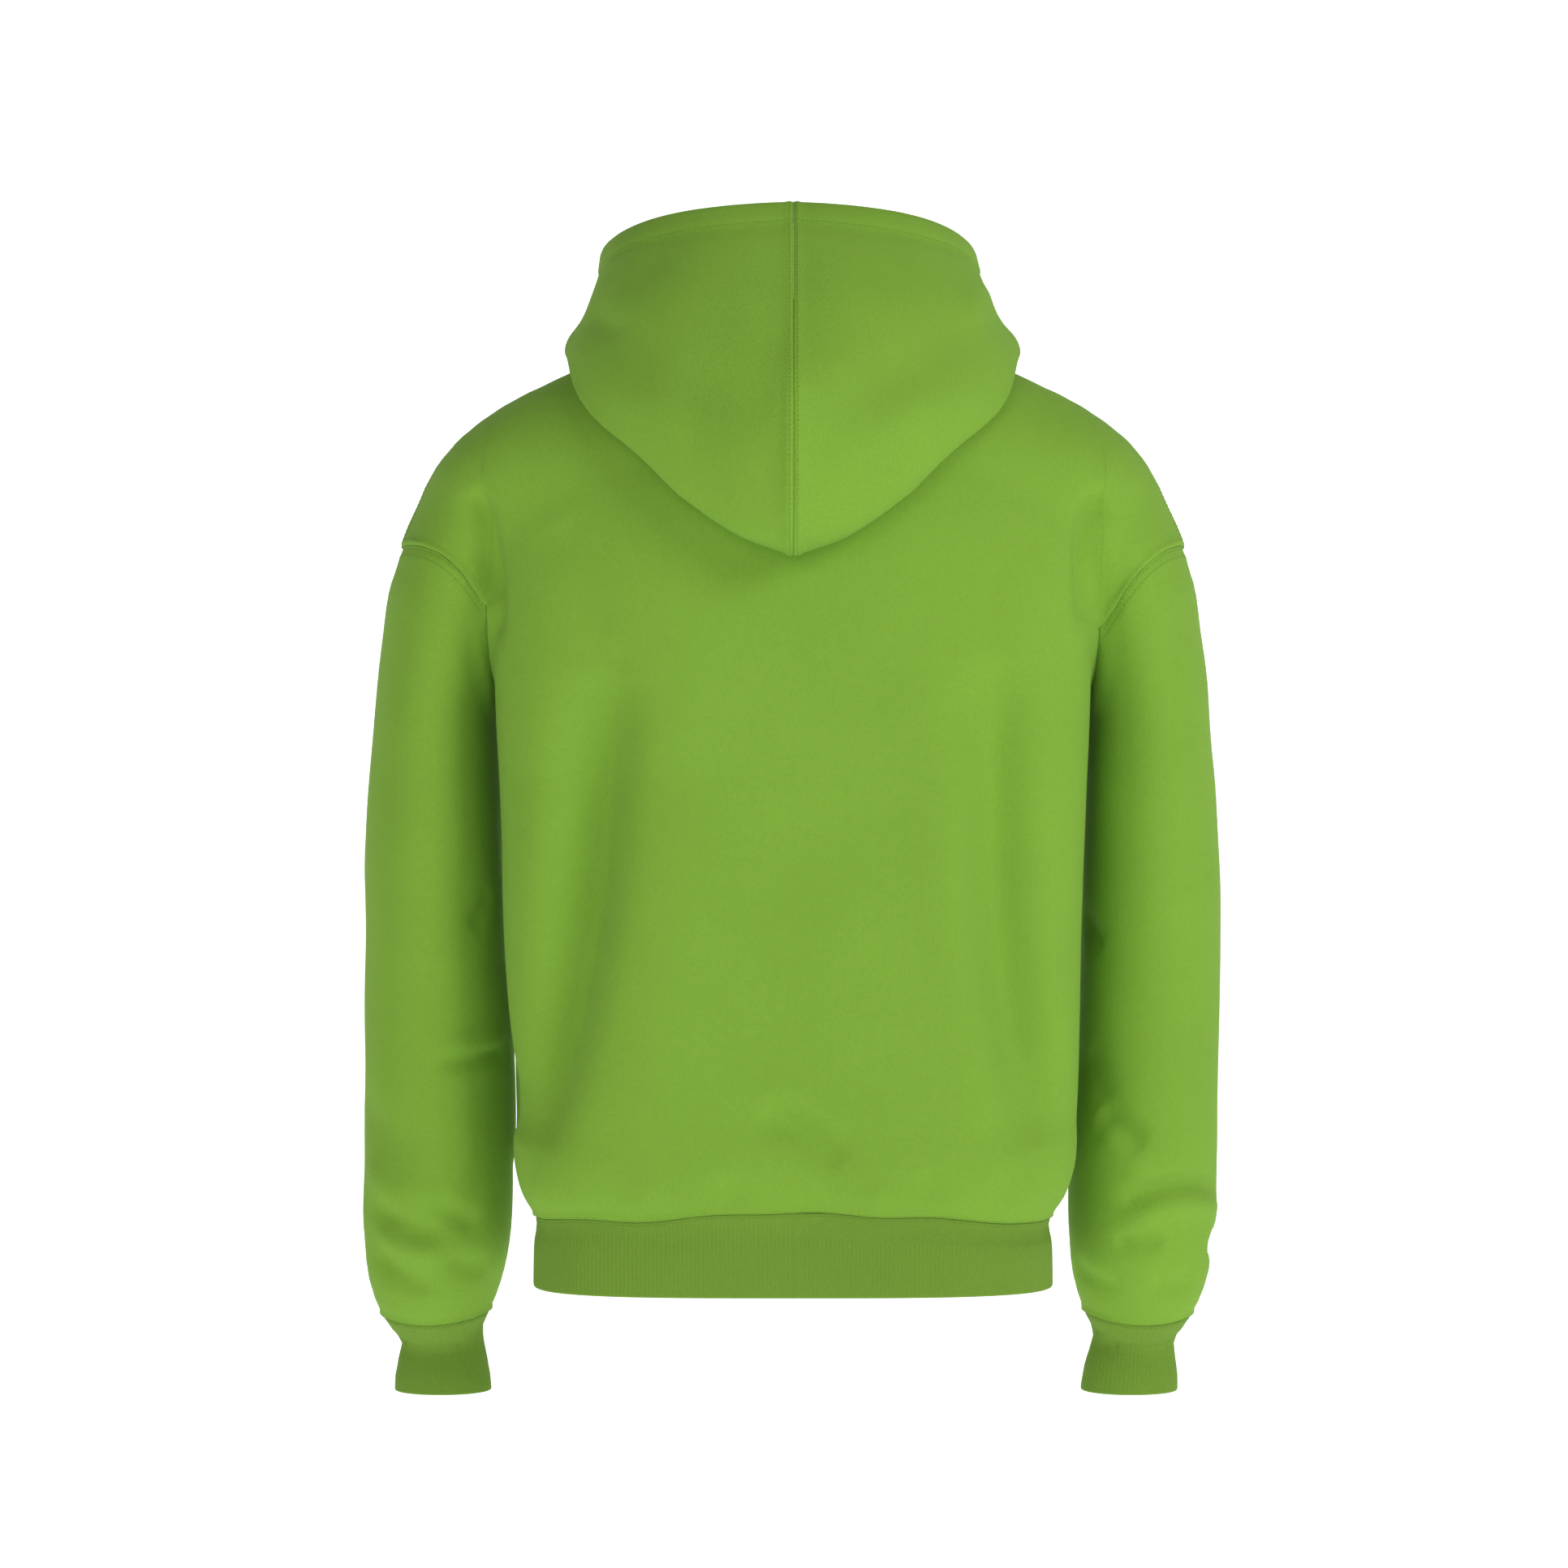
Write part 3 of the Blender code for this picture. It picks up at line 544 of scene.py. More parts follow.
def fold_lift(across, up, creases):
    """How far soft folds lift the cloth; each is a ridge or trough along a bent line."""
    lift = np.zeros(len(across))
    p = np.stack([across, up], axis=1)
    knots, fine = np.arange(3.0), np.linspace(0, 2, 9)
    for xa, za, xb, zb, xc, zc, right, left, rise in zip(*creases.values()):
        line = through(knots, np.array([[xa, za], [xb, zb], [xc, zc]]), fine)
        start, step = line[:-1], np.diff(line, axis=0)
        offset = p[:, None] - start
        t = np.clip((offset * step).sum(2) / (step * step).sum(1), 0, 1)
        offset = offset - t[..., None] * step
        gap = np.linalg.norm(offset, axis=2)
        near = gap.argmin(axis=1)
        pick = np.arange(len(p)), near
        along = (near + t[pick]) / len(step)
        width = np.where(offset[pick][:, 0] < 0, right, left)
        taper = 1 - 0.85 * (2 * along - 1) ** 4
        lift += rise * np.exp(-(gap[pick] / width) ** 2) * taper
    return lift


def slackness(p, size, height, seed):
    """Low uneven swells that cloth has everywhere."""
    shift = Vector((seed * 7.3, seed * 3.1, seed * 5.7))
    return np.array([noise.noise(Vector(q) / size + shift) for q in p.tolist()]) * height


def welt(gap, at, width, rise):
    """A soft roll or groove that runs along a seam at one distance from it."""
    return rise * np.exp(-((gap - at) / width) ** 2)


def seam_wave(p):
    """Gentle rise and fall of the hem seam, fading out above and below it."""
    wave = sum(welt(p[:, 0], x, 0.030, rise) for x, rise in HEM_WAVES)
    wave *= np.where(p[:, 1] > 0, 1.0, -0.8) * np.clip(np.abs(p[:, 1]) / 0.06, 0, 1)
    return wave * ease(1 - np.abs(p[:, 2] - HEM_TOP) / 0.040)


def fine_panel(face):
    """Fine grid and directions of one face, with the row and column numbers they stand for."""
    (left, left_lay), (right, right_lay) = (quarters[side, face] for side in (1, -1))
    grid = np.concatenate([right[:, :0:-1], left], axis=1)
    lay = np.concatenate([right_lay[:, :0:-1], left_lay], axis=1)
    inside = slice(ARM_COLUMNS, ARM_COLUMNS + 2 * SIDE_COLUMN + 1)
    rows = places(grid[:, inside], (0, BODY_ROWS, LEAVE_ROW, LAST_ROW),
                  ((True, False), (False, False), (False, True)))
    middle = LAST_COLUMN
    stops = (0, ARM_COLUMNS, middle, 2 * middle - ARM_COLUMNS, 2 * middle)
    columns = places(grid[LEAVE_ROW:].swapaxes(0, 1), stops,
                     ((True, False), (True, False), (False, True), (False, True)))
    fine = []
    for coarse in (grid, lay):
        tall = along_rows(coarse[:, inside], rows)
        low = rows <= BODY_ROWS
        for edge in (0, -1):
            line = coarse[:, inside][:, edge]
            tall[low, edge] = along_rows(line[:BODY_ROWS + 1], rows[low])
            tall[~low, edge] = along_rows(line[BODY_ROWS:], rows[~low] - BODY_ROWS)
        made = np.full((len(rows), len(columns), 3), np.nan)
        between = (columns >= ARM_COLUMNS) & (columns <= 2 * middle - ARM_COLUMNS)
        made[:, between] = along_columns(tall, columns[between] - ARM_COLUMNS)
        yoke = rows >= LEAVE_ROW
        whole = along_rows(coarse[LEAVE_ROW:], rows[yoke] - LEAVE_ROW)
        whole[:, inside] = tall[yoke]
        made[yoke] = along_columns(whole, columns)
        fine.append(made)
    grid, lay = fine
    used = ~np.isnan(grid[..., 0])
    in_crease = (rows > BODY_ROWS - 1) & (rows < LEAVE_ROW + 1)
    creases = grid[in_crease][:, (columns == ARM_COLUMNS) | (columns == 2 * middle - ARM_COLUMNS)]
    free = fade(nearest(grid[used], creases.reshape(-1, 3)), *CREASE_FADE)[:, None]
    grid[used] += free * (settle(grid[used], steps=2) - grid[used])
    lay[used] = unit(lay[used])
    grid[:, columns == middle, 0] = lay[:, columns == middle, 0] = 0.0
    return grid, lay, rows, columns - middle


def edge_points(grid, closed):
    """Points on the edges of a piece, which may have a corner cut out of its grid."""
    used = np.pad(~np.isnan(grid[..., 0]), ((1, 1), (0, 0)))
    wide = np.pad(used, ((0, 0), (1, 1)), mode="wrap" if closed else "constant")
    inner = np.ones(grid.shape[:2], bool)
    for i in (0, 1, 2):
        for j in (0, 1, 2):
            inner &= wide[i:i + grid.shape[0], j:j + grid.shape[1]]
    return grid[~inner & used[1:-1]]


def cells_of(grid, closed):
    used = ~np.isnan(grid[..., 0])
    if closed:
        used = np.hstack([used, used[:, :1]])
    return used[:-1, :-1] & used[1:, :-1] & used[:-1, 1:] & used[1:, 1:]


def along_axis(grid, axis, wraps):
    """Unit direction along one axis of a grid, one-sided beside a missing point."""
    ahead, behind = np.roll(grid, -1, axis), np.roll(grid, 1, axis)
    if not wraps:
        np.moveaxis(ahead, axis, 0)[-1] = np.nan
        np.moveaxis(behind, axis, 0)[0] = np.nan
    return unit(np.where(np.isnan(ahead), grid, ahead)
                - np.where(np.isnan(behind), grid, behind))


def trim(grid, lay, closed, handed):
    """Draw the edges of a piece in by half a seam gap, square to the seam."""
    cells = cells_of(grid, closed)
    sides = (cells[:, -1:], cells[:, :1]) if closed else (cells[:, :1] & False,) * 2
    missing = ~np.pad(np.hstack([sides[0], cells, sides[1]]), ((1, 1), (0, 0)))
    lower, upper = missing[:-1].astype(int), missing[1:].astype(int)
    across = np.sign(lower[:, :-1] + upper[:, :-1] - lower[:, 1:] - upper[:, 1:])
    along = np.sign(lower[:, :-1] + lower[:, 1:] - upper[:, :-1] - upper[:, 1:])
    across, along = (way[:, :grid.shape[1], None] for way in (across, along))
    sideways = np.cross(along_axis(grid, 0, False), lay) * handed
    upwards = np.cross(lay, along_axis(grid, 1, closed)) * handed
    return grid + (across * sideways + along * upwards) * SEAM_GAP / 2


def cloth(name, grid, lay, thickness, closed, material):
    """A cloth piece: outer face, inner face and rounded edges, with its map in metres."""
    cells = cells_of(grid, closed)
    facing = np.cross(along_axis(grid, 1, closed), along_axis(grid, 0, False)) * lay
    handed = np.sign(np.nansum(facing))
    outer = trim(grid, lay, closed, handed)
    used = ~np.isnan(grid[..., 0])
    number = np.full(used.shape, -1)
    number[used] = np.arange(used.sum())
    depth = np.broadcast_to(thickness, used.shape)[used]
    gap = nearest(outer[used], edge_points(outer, closed))
    rounding = np.sqrt(1 - (1 - np.clip(gap / EDGE_ROUND, 0, 1)) ** 2)
    above = (depth / 2 * (0.15 + 0.85 * rounding))[:, None]
    below = (depth / 2 * (0.70 + 0.30 * rounding))[:, None]
    middle = outer[used] - lay[used] * depth[:, None] / 2
    points = np.vstack([middle + lay[used] * above, middle - lay[used] * below])
    i, j = np.nonzero(cells)
    k = (j + 1) % grid.shape[1]
    quads = np.stack([number[i, j], number[i, k], number[i + 1, k], number[i + 1, j]], axis=1)
    run = np.nancumsum(np.linalg.norm(np.diff(grid, axis=1, append=grid[:, :1]), axis=2), axis=1)
    run = np.pad(run, ((0, 0), (1, 0)))
    run -= run[:, [run.shape[1] // 2]]
    rise = np.nancumsum(np.linalg.norm(np.diff(grid, axis=0), axis=2), axis=0)
    rise = np.pad(rise, ((1, 0), (0, 1)), mode="constant")
    rise[:, -1] = rise[:, 0]
    corner = [(i, j), (i, j + 1), (i + 1, j + 1), (i + 1, j)]
    flat = np.stack([np.stack([run[c], rise[c]], axis=1) for c in corner], axis=1)
    if handed < 0:
        quads, flat = quads[:, ::-1], flat[:, ::-1]
    count = used.sum()
    inner = quads[:, ::-1] + count
    total = 2 * count
    ways = np.stack([quads, np.roll(quads, -1, axis=1)], axis=2).reshape(-1, 2)
    spots = np.stack([flat, np.roll(flat, -1, axis=1)], axis=2).reshape(-1, 2, 2)
    lone = ~np.isin(ways[:, 0] * total + ways[:, 1], ways[:, 1] * total + ways[:, 0])
    a, b = ways[lone].T
    rim = np.stack([b, a, count + a, count + b], axis=1)
    rim_flat = spots[lone][:, [1, 0, 0, 1]]
    faces = np.vstack([quads, inner, rim])
    mesh = bpy.data.meshes.new(name)
    mesh.from_pydata(points.tolist(), [], faces.tolist())
    laid = mesh.uv_layers.new(name="cloth_map")
    laid.data.foreach_set("uv", np.vstack([flat, flat[:, ::-1], rim_flat]).ravel())
    mesh.shade_smooth()
    mesh.materials.append(material)
    made = bpy.data.objects.new(name, mesh)
    bpy.context.scene.collection.objects.link(made)
    return made


def join(tree, node, inputs):
    """Set a node's inputs, or join them to other nodes."""
    for key, value in inputs.items():
        if isinstance(value, bpy.types.Node):
            value = value.outputs[0]
        if isinstance(value, bpy.types.NodeSocket):
            tree.links.new(value, node.inputs[key])
        else:
            node.inputs[key].default_value = value
    return node


def add(tree, kind, inputs=(), **settings):
    """A new node with these settings and inputs."""
    node = tree.nodes.new(kind)
    for key, value in settings.items():
        setattr(node, key, value)
    return join(tree, node, dict(inputs))


def sums(tree, operation, *values):
    return add(tree, "ShaderNodeMath", enumerate(values), operation=operation)


def tinted(tree, factor, colour, spread):
    """The colour, running from a little darker to a little lighter."""
    ramp = add(tree, "ShaderNodeValToRGB", {0: factor})
    for end, share in zip(ramp.color_ramp.elements, (1 - spread, 1 + spread)):
        end.color = (*(c * share for c in colour), 1.0)
    return ramp


def knit_cloth(name, colour, wale, course, fuzz):
    """Matt cotton knit: fine upright wales and cross courses, brushed and a little uneven."""
    made = bpy.data.materials.new(name)
    made.use_nodes = True
    tree = made.node_tree
    place = add(tree, "ShaderNodeTexCoord")
    parts = add(tree, "ShaderNodeSeparateXYZ", {0: place.outputs["UV"]})
    wales, courses = (
        sums(tree, "SINE", sums(tree, "MULTIPLY", parts.outputs[axis], 2 * np.pi / pitch))
        for axis, pitch in (("X", wale), ("Y", course)))
    nap, drift, speck = (
        add(tree, "ShaderNodeTexNoise", {"Vector": place.outputs["Object"], "Scale": scale,
                                         "Detail": detail, "Roughness": rough})
        for scale, detail, rough in ((900.0, 3.0, 0.6), (9.0, 4.0, 0.55), (420.0, 2.0, 0.6)))
    knit = sums(tree, "ADD", wales, sums(tree, "MULTIPLY", courses, 0.4))
    height = sums(tree, "ADD", knit, sums(tree, "MULTIPLY", nap, fuzz))
    bump = add(tree, "ShaderNodeBump", {"Height": height, "Distance": KNIT_DEPTH,
                                        "Strength": 1.0})
    shade = add(tree, "ShaderNodeMapRange", {"Value": sums(tree, "ADD", drift, speck),
                                             "From Min": 0.7, "From Max": 1.3})
    join(tree, tree.nodes["Principled BSDF"], {
        "Base Color": tinted(tree, shade, colour, 0.05), "Normal": bump, "Roughness": 0.92,
        "Specular IOR Level": 0.12, "Sheen Weight": 0.12, "Sheen Roughness": 0.55,
        "Sheen Tint": (0.62, 0.85, 0.35, 1.0)})
    return made


def socket(tree, name, kind, direction, value=None):
    made = tree.interface.new_socket(name, in_out=direction, socket_type=kind)
    if value is not None:
        made.default_value = value
    return made.identifier


def grown(piece, tree, settings):
    """The piece as the tree makes it from these inputs, as a plain mesh."""
    modifier = piece.modifiers.new(tree.name, "NODES")
    modifier.node_group = tree
    for identifier, value in settings.items():
        modifier[identifier] = value
    result = piece.evaluated_get(bpy.context.evaluated_depsgraph_get())
    mesh = bpy.data.meshes.new_from_object(result)
    piece.modifiers.remove(modifier)
    old = piece.data
    mesh.name = old.name + "_made"
    piece.data = mesh
    bpy.data.meshes.remove(old)


def hang(piece, node):
    """The piece rides on the garment in place of its plain solid."""
    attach(piece, "root")
    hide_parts(node)


THREAD = 0.00050
STITCH_LENGTH = 0.0026
STITCH_STEP = 0.0034
THREAD_GREEN = (0.170, 0.320, 0.034)

sew_tree = bpy.data.node_groups.new("sew_stitches", "GeometryNodeTree")
socket(sew_tree, "Seam lines", "NodeSocketGeometry", "INPUT")
SEW_STEP = socket(sew_tree, "Stitch step", "NodeSocketFloat", "INPUT", STITCH_STEP)
SEW_LENGTH = socket(sew_tree, "Stitch length", "NodeSocketFloat", "INPUT", STITCH_LENGTH)
SEW_THICK = socket(sew_tree, "Thread thickness", "NodeSocketFloat", "INPUT", THREAD)
SEW_THREAD = socket(sew_tree, "Thread", "NodeSocketMaterial", "INPUT")
socket(sew_tree, "Stitches", "NodeSocketGeometry", "OUTPUT")
given = add(sew_tree, "NodeGroupInput").outputs
path = add(sew_tree, "GeometryNodeMeshToCurve", {"Mesh": given["Seam lines"]})
marks = add(sew_tree, "GeometryNodeResampleCurve", {"Curve": path, "Length": given["Stitch step"]},
            mode="LENGTH")
ball = add(sew_tree, "GeometryNodeMeshUVSphere", {"Segments": 6, "Rings": 4, "Radius": 0.5})
stretch = add(sew_tree, "ShaderNodeCombineXYZ", {
    "X": given["Thread thickness"], "Y": given["Thread thickness"], "Z": given["Stitch length"]})
stitch = add(sew_tree, "GeometryNodeTransform", {"Geometry": ball, "Scale": stretch})
turned = add(sew_tree, "FunctionNodeAlignRotationToVector", {
    "Vector": add(sew_tree, "GeometryNodeInputTangent")}, axis="Z")
laid = add(sew_tree, "GeometryNodeInstanceOnPoints", {"Points": marks, "Instance": stitch,
                                                      "Rotation": turned})
real = add(sew_tree, "GeometryNodeRealizeInstances", {0: laid})
smooth = add(sew_tree, "GeometryNodeSetShadeSmooth", {0: real})
clad = add(sew_tree, "GeometryNodeSetMaterial", {"Geometry": smooth, "Material": given["Thread"]})
add(sew_tree, "NodeGroupOutput", {0: clad})

thread = bpy.data.materials.new("green_thread")
thread.use_nodes = True
place = add(thread.node_tree, "ShaderNodeTexCoord")
ply = add(thread.node_tree, "ShaderNodeTexNoise", {"Vector": place.outputs["Object"],
                                                   "Scale": 1500.0, "Detail": 1.0})
join(thread.node_tree, thread.node_tree.nodes["Principled BSDF"], {
    "Base Color": tinted(thread.node_tree, ply, THREAD_GREEN, 0.15),
    "Roughness": 0.6, "Specular IOR Level": 0.3})


def raised(grid, lay, lift):
    """The grid with each point lifted off along its direction."""
    return grid + lay * lift.reshape(grid.shape[:2])[..., None]


def beside(grid, lay, distance, closed=False):
    """Line that runs beside the first row of a grid, just proud of the cloth."""
    points = grid + lay * THREAD * 0.2
    step = np.linalg.norm(np.diff(grid, axis=0), axis=2)
    length = np.vstack([np.zeros(grid.shape[1]), np.cumsum(step, axis=0)])
    line = np.array([[np.interp(distance, length[:, j], points[:, j, k]) for k in range(3)]
                     for j in range(grid.shape[1])])
    return np.vstack([line, line[:1]]) if closed else line


def sewn(name, lines):
    """The stitches of one piece, along these lines."""
    mesh = bpy.data.meshes.new(name)
    points = np.vstack(lines)
    ends = np.cumsum([len(line) for line in lines])
    edges = [(k, k + 1) for k in range(len(points) - 1) if k + 1 not in ends]
    mesh.from_pydata(points.tolist(), edges, [])
    made = bpy.data.objects.new(name, mesh)
    bpy.context.scene.collection.objects.link(made)
    grown(made, sew_tree, {SEW_STEP: STITCH_STEP, SEW_LENGTH: STITCH_LENGTH,
                           SEW_THICK: THREAD, SEW_THREAD: thread})
    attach(made, "root")
    return made


fleece = knit_cloth("green_fleece", BODY_GREEN, 0.0012, 0.0010, 2.0)
quarters = {(side, face): half_panel(side, face) for side in (1, -1) for face in (1, -1)}
panels = {}
for name, face, creases, width, height, area in (
        ("back_panel", 1, BACK_FOLDS, 0.66, 0.68, 0.39),
        ("front_panel", -1, FRONT_FOLDS, 0.66, 0.66, 0.338)):
    grid, lay, rows, columns = fine_panel(face)
    used = ~np.isnan(grid[..., 0])
    p = grid[used]
    edge_gap = nearest(p, edge_points(grid, False))
    lift = fold_lift(p[:, 0], p[:, 2], creases) + slackness(p, *PANEL_SLACK, 1 + face)
    lift *= fade(edge_gap, 0.001, 0.016)
    lift += welt(edge_gap, *SEAM_WELT)
    grid[used, 2] += seam_wave(p)
    panels[face] = grid.copy(), lay, rows, columns
    grid[used] += lay[used] * lift[:, None]
    piece = cloth("cloth_" + name, grid, lay, FLEECE, False, fleece)
    hang(piece, name)
    inside = np.abs(columns) <= SIDE_COLUMN
    lines = [beside(grid[:, inside], lay[:, inside], EDGE_STITCH)]
    if face > 0:
        high = rows >= LEAVE_ROW
        for side in (1, -1):
            part = np.flatnonzero(side * columns >= NECK_COLUMNS + 0.2)
            lines.append(beside(grid[high][::-1][:, part], lay[high][::-1][:, part], EDGE_STITCH))
    stitches = sewn("stitches_" + name, lines)


# Sleeves: one piece each, of the same fleece, sewn into the dropped armhole and gathered a
# little at the cuff. The arm hangs straight, so the cloth sags into soft cross folds low down.
SLEEVE_ROWS = 14
ROWS_CROWD_TO_CUFF = 1.35
CUFF_TOP = -0.700
ARM_SPREAD = 0.060              # turns an angle round the arm into a distance across it
SLEEVE_FOLDS_DEEPER = 1.45
ARMHOLE_GROOVE = (0.0020, 0.0030, -0.0011)
TOP_STITCH = 0.0080             # a second line of stitches below the armhole
ARMHOLE_MEET = 0.030            # how far from the armhole the sleeve is drawn to it
SLEEVE_SLACK = (0.06, 0.0012)
LEFT_SLEEVE_FOLDS = folds(      # across runs from the outer line (0) past the back
    (157, -385, 145, -398, 134, -412, 9, 9, -2),
    (168, -503, 136, -507, 104, -510, 6, 6, -3),
    (168, -492, 136, -496, 104, -499, 9, 9, 2),
    (40, -617, 74, -631, 106, -636, 9, 9, -3.6),
    (50, -634, 78, -647, 106, -653, 9, 9, 2.8),
    (94, -614, 113, -622, 134, -630, 9, 9, -2.8),
    (40, -652, 72, -669, 98, -676, 8, 8, -3),
    (110, -655, 130, -662, 150, -664, 8, 8, -2),
    (20, -535, 50, -560, 90, -572, 18, 18, -2.2),
    (30, -588, 60, -603, 100, -606, 12, 12, 2),
    (4, -150, -3, -266, 4, -384, 6, 6, 1.2),
    (184, -440, 186, -520, 184, -592, 22, 22, 2.8),
    (-184, -440, -186, -520, -184, -592, 22, 22, 2.8),
    (-140, -500, -100, -520, -60, -516, 10, 10, -3),
    (-110, -610, -70, -626, -30, -620, 10, 10, -3.6),
    (-120, -655, -80, -668, -45, -660, 9, 9, -2.8),
    (-150, -390, -120, -405, -90, -402, 14, 14, -2.6),
)
RIGHT_SLEEVE_FOLDS = folds(
    (176, -402, 162, -413, 146, -424, 9, 9, -3),
    (160, -500, 146, -520, 134, -540, 14, 14, -2.6),
    (140, -545, 120, -556, 100, -571, 10, 10, -4.2),
    (138, -563, 118, -575, 96, -590, 10, 10, 2.2),
    (118, -612, 70, -597, 15, -607, 7, 7, -4.2),
    (118, -628, 70, -613, 15, -622, 9, 9, 3),
    (122, -642, 104, -643, 84, -642, 7, 7, -4),
    (172, -664, 145, -672, 116, -680, 8, 8, -2.2),
    (90, -672, 70, -676, 48, -672, 8, 8, -2.2),
    (28, -648, 0, -649, -30, -648, 9, 9, -5),
    (-140, -510, -100, -524, -60, -518, 10, 10, -3),
    (-120, -600, -80, -614, -50, -610, 10, 10, -3.6),
    (-130, -660, -90, -670, -55, -664, 9, 9, -2.8),
    (-150, -400, -120, -412, -90, -408, 14, 14, -2.6),
)


def armhole_edge(quarter):
    """Up the crease, out under the arm and up to the shoulder tip."""
    return [np.concatenate([g[BODY_ROWS:LEAVE_ROW, SIDE_COLUMN], g[LEAVE_ROW, SIDE_COLUMN:],
                            g[LEAVE_ROW + 1:, -1]]) for g in quarter]


def ring(side, pick):
    """Closed ring: up the back half of an edge and down the front half."""
    back, front = (pick(quarters[side, face]) for face in (1, -1))
    return [np.concatenate([b, f[-2:0:-1]]) for b, f in zip(back, front)]


def arm_ring(side, heights, count):
    """Ring round the arm, from the inner side past the back; heights may vary round it."""
    angle = np.pi - np.linspace(0, 2 * np.pi, count, endpoint=False)
    out, forward, half_width, half_depth = arm_section(side, heights)
    x = out + half_width * np.cos(angle)
    y = half_depth * np.sin(angle) - forward
    return np.stack([side * x, y, heights + 0 * x], axis=1)


def sleeve(side):
    """The sleeve's coarse grid and directions, from the armhole down to the cuff."""
    top, top_lay = ring(side, armhole_edge)
    rows = [top]
    for step in 1 - (1 - np.linspace(0, 1, SLEEVE_ROWS + 1)[1:]) ** ROWS_CROWD_TO_CUFF:
        rows.append(arm_ring(side, top[:, 2] * (1 - step) + CUFF_TOP * step, len(top)))
    grid = np.array(rows)
    grid[1:] = settle(grid[1:])
    free = np.zeros(grid.shape[:2], bool)
    free[1:5] = True
    relax(grid, free, 8)
    return grid, np.concatenate([top_lay[None], outward(grid[1:])])


def past_front(back, front, full):
    """A seam line that runs along the back and on, the other way, along the front."""
    return (np.r_[back[0], full - front[0][::-1][1:]],
            *(np.vstack([b, f[::-1][1:]]) for b, f in zip(back[1:], front[1:])))


def fine_hole(side):
    """The armhole of the fine panels, as place round the ring, points and directions."""
    found = []
    for face in (1, -1):
        grid, lay, rows, columns = panels[face]
        seam = np.argmin(np.abs(columns - side * SIDE_COLUMN))
        outer = np.argmin(np.abs(columns - side * LAST_COLUMN))
        crease = np.flatnonzero((rows >= BODY_ROWS) & (rows < LEAVE_ROW))
        leave = np.argmin(np.abs(rows - LEAVE_ROW))
        under = np.flatnonzero(side * columns >= SIDE_COLUMN)[::side]
        above = np.flatnonzero(rows > LEAVE_ROW)
        picks = [(crease, np.full(len(crease), seam)), (np.full(len(under), leave), under),
                 (above, np.full(len(above), outer))]
        i, j = (np.concatenate(part) for part in zip(*picks))
        at = np.concatenate([rows[crease] - BODY_ROWS,
                             CREASE_ROWS + side * columns[under] - SIDE_COLUMN,
                             CREASE_ROWS + ARM_COLUMNS + rows[above] - LEAVE_ROW])
        found.append((at, grid[i, j], lay[i, j]))
    return past_front(*found, 2 * (CREASE_ROWS + ARM_COLUMNS + LAST_ROW - LEAVE_ROW))


def at_places(line, at):
    return np.stack([np.interp(at, line[0], part[:, k]) for part in line[1:]
                     for k in range(3)], axis=1)


def finer(coarse, rows, columns, closed):
    """The same grid at finer places; a closed one joins its ends."""
    if closed:
        coarse = np.concatenate([coarse[:, -3:], coarse, coarse[:, :4]], axis=1)
        columns = columns + 3
    return along_columns(along_rows(coarse, rows), columns)


def meet(grid, lay, line, at, reach):
    """Draw the first rows of a grid to the exact line of the seam they share."""
    seam = at_places(line, at)
    away = np.linalg.norm(grid - grid[0], axis=2)
    share = (1 - ease(away / reach))[..., None]
    grid = grid + share * (seam[:, :3] - grid[0])
    lay = unit(lay + share * (seam[:, 3:] - lay[0]))
    return grid, lay


def around(grid, pitch):
    """Even places round a closed coarse grid, left out where they would repeat the first."""
    middle = grid[len(grid) // 3]
    length = run_along(np.vstack([middle, middle[:1]]))
    even = np.linspace(0, length[-1], round(length[-1] / pitch), endpoint=False)
    return np.interp(even, length, np.arange(len(length)))


def fine_tube(coarse, lay, row_pitch, column_pitch):
    """Fine grid, directions and column places of a piece that closes round on itself."""
    rows = places(coarse, (0, len(coarse) - 1), ((True, True),), row_pitch)
    columns = around(coarse, column_pitch)
    return finer(coarse, rows, columns, True), unit(finer(lay, rows, columns, True)), columns


def arm_places(p, side):
    """Angle round the arm as a distance, 0 along the outer line and positive at the back."""
    out, forward, half_width, half_depth = arm_section(side, p[:, 2])
    across, behind = (side * p[:, 0] - out) / half_width, (p[:, 1] + forward) / half_depth
    return np.arctan2(behind, across) * ARM_SPREAD


